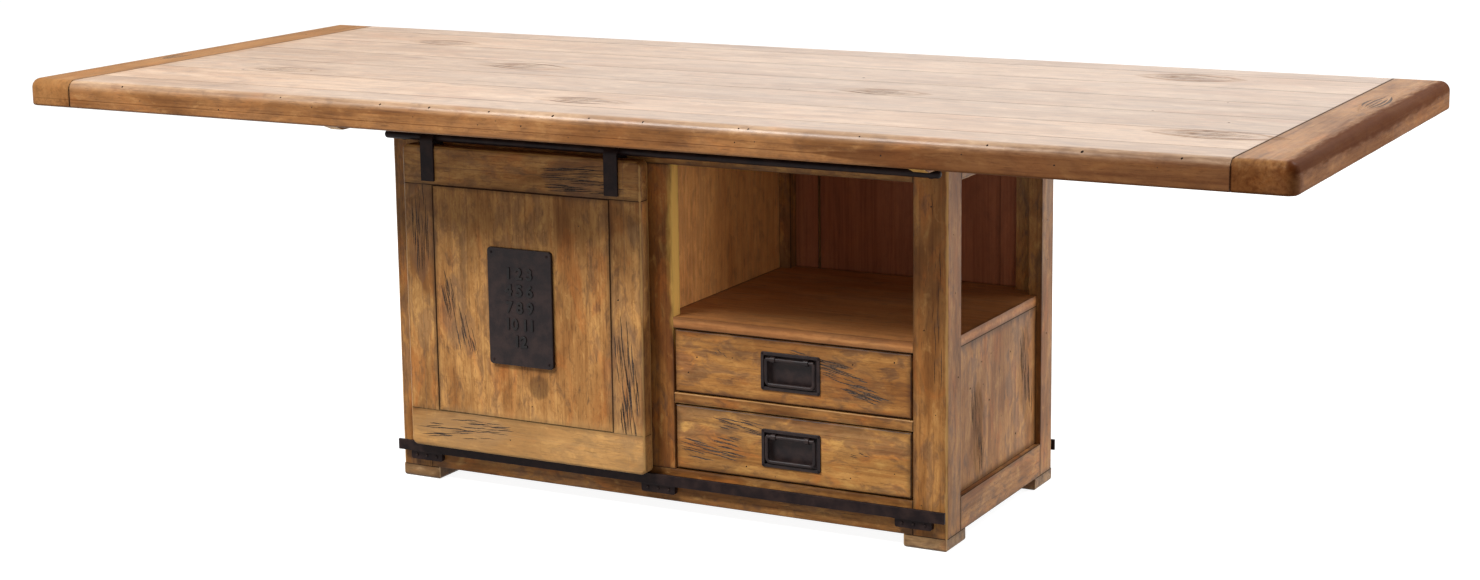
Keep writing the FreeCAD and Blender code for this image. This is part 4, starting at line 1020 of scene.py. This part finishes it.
def fit_heads(name, body, places, outward, radius, height, slotted=False):
    """Sets a row of heads on their places as one piece."""
    heads = bmesh.new()
    for place in places:
        add_head(heads, place, outward, radius, height)
    piece = show(name, heads, [bar_iron, scratch_floor])
    if slotted:
        marks = [
            scratches(place + outward * height, outward, ALONG_X, 0.1, 0.1, 1, (7, 8), 0, 30, 1.6, i)
            for i, place in enumerate(places)
        ]
        carve(piece, marks)
    settle(piece)
    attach(piece, body)


def corners_of(node, face, inset):
    """The four places near a plate's corners, on its face."""
    low, high = (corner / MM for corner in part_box(node))
    (left, right), (bottom, top) = ((low[i] + inset, high[i] - inset) for i in (0, 2))
    return [Vector((x, face, z)) for x in (left, right) for z in (bottom, top)]


TAB_FACE = -260.3
TABS = (-510, 0, 510)
SCREW_STEPS = (-22, 0, 22)
SCREW_HEIGHT = 47.5
FLANGE_FACE = -252.5
PLAQUE_FACE = -295
for side, sign in SIDES:
    outward = -ALONG_Y * sign
    screw_line = [tab + step for tab in TABS for step in SCREW_STEPS]
    screw_places = [Vector((x, sign * TAB_FACE, SCREW_HEIGHT)) for x in screw_line]
    fit_heads(f"{side}_tab_screws", "cabinet", screw_places, outward, 3.4, 1.8, slotted=True)
    pin_places = corners_of(f"{side}_door_plaque", sign * PLAQUE_FACE, 9)
    fit_heads(f"{side}_plaque_pins", f"{side}_door", pin_places, outward, 2.6, 1.4)
    for level in ("lower", "upper"):
        pin_places = corners_of(f"{side}_{level}_pull_plate", sign * FLANGE_FACE, 3.6)
        fit_heads(f"{side}_{level}_pull_pins", f"{side}_{level}_drawer", pin_places, outward, 2.0, 1.2)

# Plaque numbers: plain counting numbers in five centred rows, raised on the casting of both plaques.
# They were cast with it, and their iron is made darker as painted shade round the raised figures.
NUMBER_ROWS = ("1 2 3", "4 5 6", "7 8 9", "10 11", "12")
NUMBER_SIZE = 29
ROW_STEP = 32
FIRST_ROW = 422
number_iron_painted_shade = iron_material("number_iron_painted_shade", 0.1 * MM, 0.25, 0.3)
for side, sign in SIDES:
    text = bpy.data.curves.new(f"{side}_numbers_text", "FONT")
    text.size = NUMBER_SIZE * MM
    text.offset = 0.5 * MM
    text.align_x = "CENTER"
    text.extrude = 1.5 * MM
    text.bevel_depth = 0.5 * MM
    text.space_line = ROW_STEP / NUMBER_SIZE
    text.body = "\n".join(NUMBER_ROWS)
    lettering = put(f"{side}_numbers_text", text)
    number_mesh = shaped_mesh(lettering)
    bpy.data.objects.remove(lettering)
    upright = Matrix.Rotation(math.pi / 2, 4, "X")
    turned = Matrix.Rotation(0 if sign == 1 else math.pi, 4, "Z")
    plaque_low, plaque_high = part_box(f"{side}_door_plaque")
    spot = Vector(((plaque_low.x + plaque_high.x) / 2, sign * PLAQUE_FACE * MM, FIRST_ROW * MM))
    number_mesh.transform(Matrix.Translation(spot) @ turned @ upright)
    number_mesh.materials.clear()
    number_mesh.materials.append(number_iron_painted_shade)
    numbers = put(f"{side}_plaque_numbers", number_mesh)
    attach(numbers, f"{side}_door")

# Studio: a white floor and backdrop, three broad soft lamps round the table and a low one in front, and the
# camera at the photograph's angle. White is only what the camera, metal and gloss see of the backdrop.


def seen_rays(tree):
    """Marks the rays that go to the camera from the backdrop, straight or by way of metal and gloss."""
    rays = add_node(tree, "LightPath").outputs
    kinds = ("Camera", "Glossy", "Transmission")
    return reckon(tree, "MAXIMUM", *(rays[f"Is {kind} Ray"] for kind in kinds))


world = bpy.data.worlds.new("studio")
bpy.context.scene.world = world
world.use_nodes = True
world_tree = world.node_tree
world_tree.nodes.clear()
FILL_LEVEL = 0.27
level = reckon(world_tree, "ADD", times(world_tree, seen_rays(world_tree), 1 - FILL_LEVEL), FILL_LEVEL)
backdrop_light = add_node(world_tree, "Background", {"Color": (1, 1, 1, 1), "Strength": level})
add_node(world_tree, "OutputWorld", {"Surface": backdrop_light.outputs[0]})

FLOOR_REACH = 30
FLOOR_GLOW = 0.92
floor_mesh = bpy.data.meshes.new("floor")
floor_signs = ((-1, -1), (1, -1), (1, 1), (-1, 1))
floor_corners = [(x * FLOOR_REACH, y * FLOOR_REACH, 0) for x, y in floor_signs]
floor_mesh.from_pydata(floor_corners, [], [(0, 1, 2, 3)])
floor_white, floor_tree = start_material("floor_white")
floor_paint = add_node(floor_tree, "BsdfDiffuse", {"Color": (0.3, 0.3, 0.3, 1)}).outputs[0]
floor_strength = times(floor_tree, seen_rays(floor_tree), FLOOR_GLOW)
floor_glow = add_node(floor_tree, "Emission", {"Strength": floor_strength}).outputs[0]
floor_surface = add_node(floor_tree, "AddShader", {0: floor_paint, 1: floor_glow}).outputs[0]
add_node(floor_tree, "OutputMaterial", {"Surface": floor_surface})
floor_mesh.materials.append(floor_white)
put("floor", floor_mesh)


def hang_lamp(name, place, aim, size, power):
    """A soft square lamp that points at a place."""
    lamp = bpy.data.lights.new(name, "AREA")
    lamp.shape = "RECTANGLE"
    lamp.size, lamp.size_y = size
    lamp.energy = power
    holder = put(name, lamp)
    holder.location = place
    holder.rotation_euler = (Vector(aim) - Vector(place)).to_track_quat("-Z", "Y").to_euler()


hang_lamp("high_front_lamp", (-2.1, -3.5, 4.8), (0, 0, 0.3), (2.2, 1.6), 510)
hang_lamp("low_front_lamp", (2.8, -4.0, 1.2), (0.2, 0, 0.35), (2.0, 1.6), 24)
hang_lamp("right_lamp", (4.2, 2.2, 0.9), (0.4, 0, 0.4), (1.8, 1.3), 92)
hang_lamp("rear_lamp", (2.8, 4.0, 5.0), (0.3, 0, 0.5), (3.0, 2.0), 400)

PHOTO_WIDTH = 1480
FOCAL_PIXELS = 2625
OPTICAL_CENTRE = 734.5
YAW = math.radians(27.99)
PITCH = math.radians(10.60)
ROLL = math.radians(0.73)
LENS_SHIFT = 0.05
CAMERA_PLACE = (2.3034, -4.2824, 1.4198)
view_way = Vector((-math.sin(YAW) * math.cos(PITCH), math.cos(YAW) * math.cos(PITCH), -math.sin(PITCH)))
level_right = Vector((math.cos(YAW), math.sin(YAW), 0))
level_down = view_way.cross(level_right)
right = level_right * math.cos(ROLL) + level_down * math.sin(ROLL)
down = level_down * math.cos(ROLL) - level_right * math.sin(ROLL)
camera_data = bpy.data.cameras.new("camera")
camera_data.lens = FOCAL_PIXELS / PHOTO_WIDTH * camera_data.sensor_width
camera_data.shift_x = (PHOTO_WIDTH / 2 - OPTICAL_CENTRE) / PHOTO_WIDTH
camera_data.shift_y = -LENS_SHIFT
camera = put("camera", camera_data)
turn = Matrix((right, -down, -view_way)).transposed().to_4x4()
camera.matrix_world = Matrix.Translation(CAMERA_PLACE) @ turn
bpy.context.scene.camera = camera
bpy.context.scene.view_settings.view_transform = "Standard"
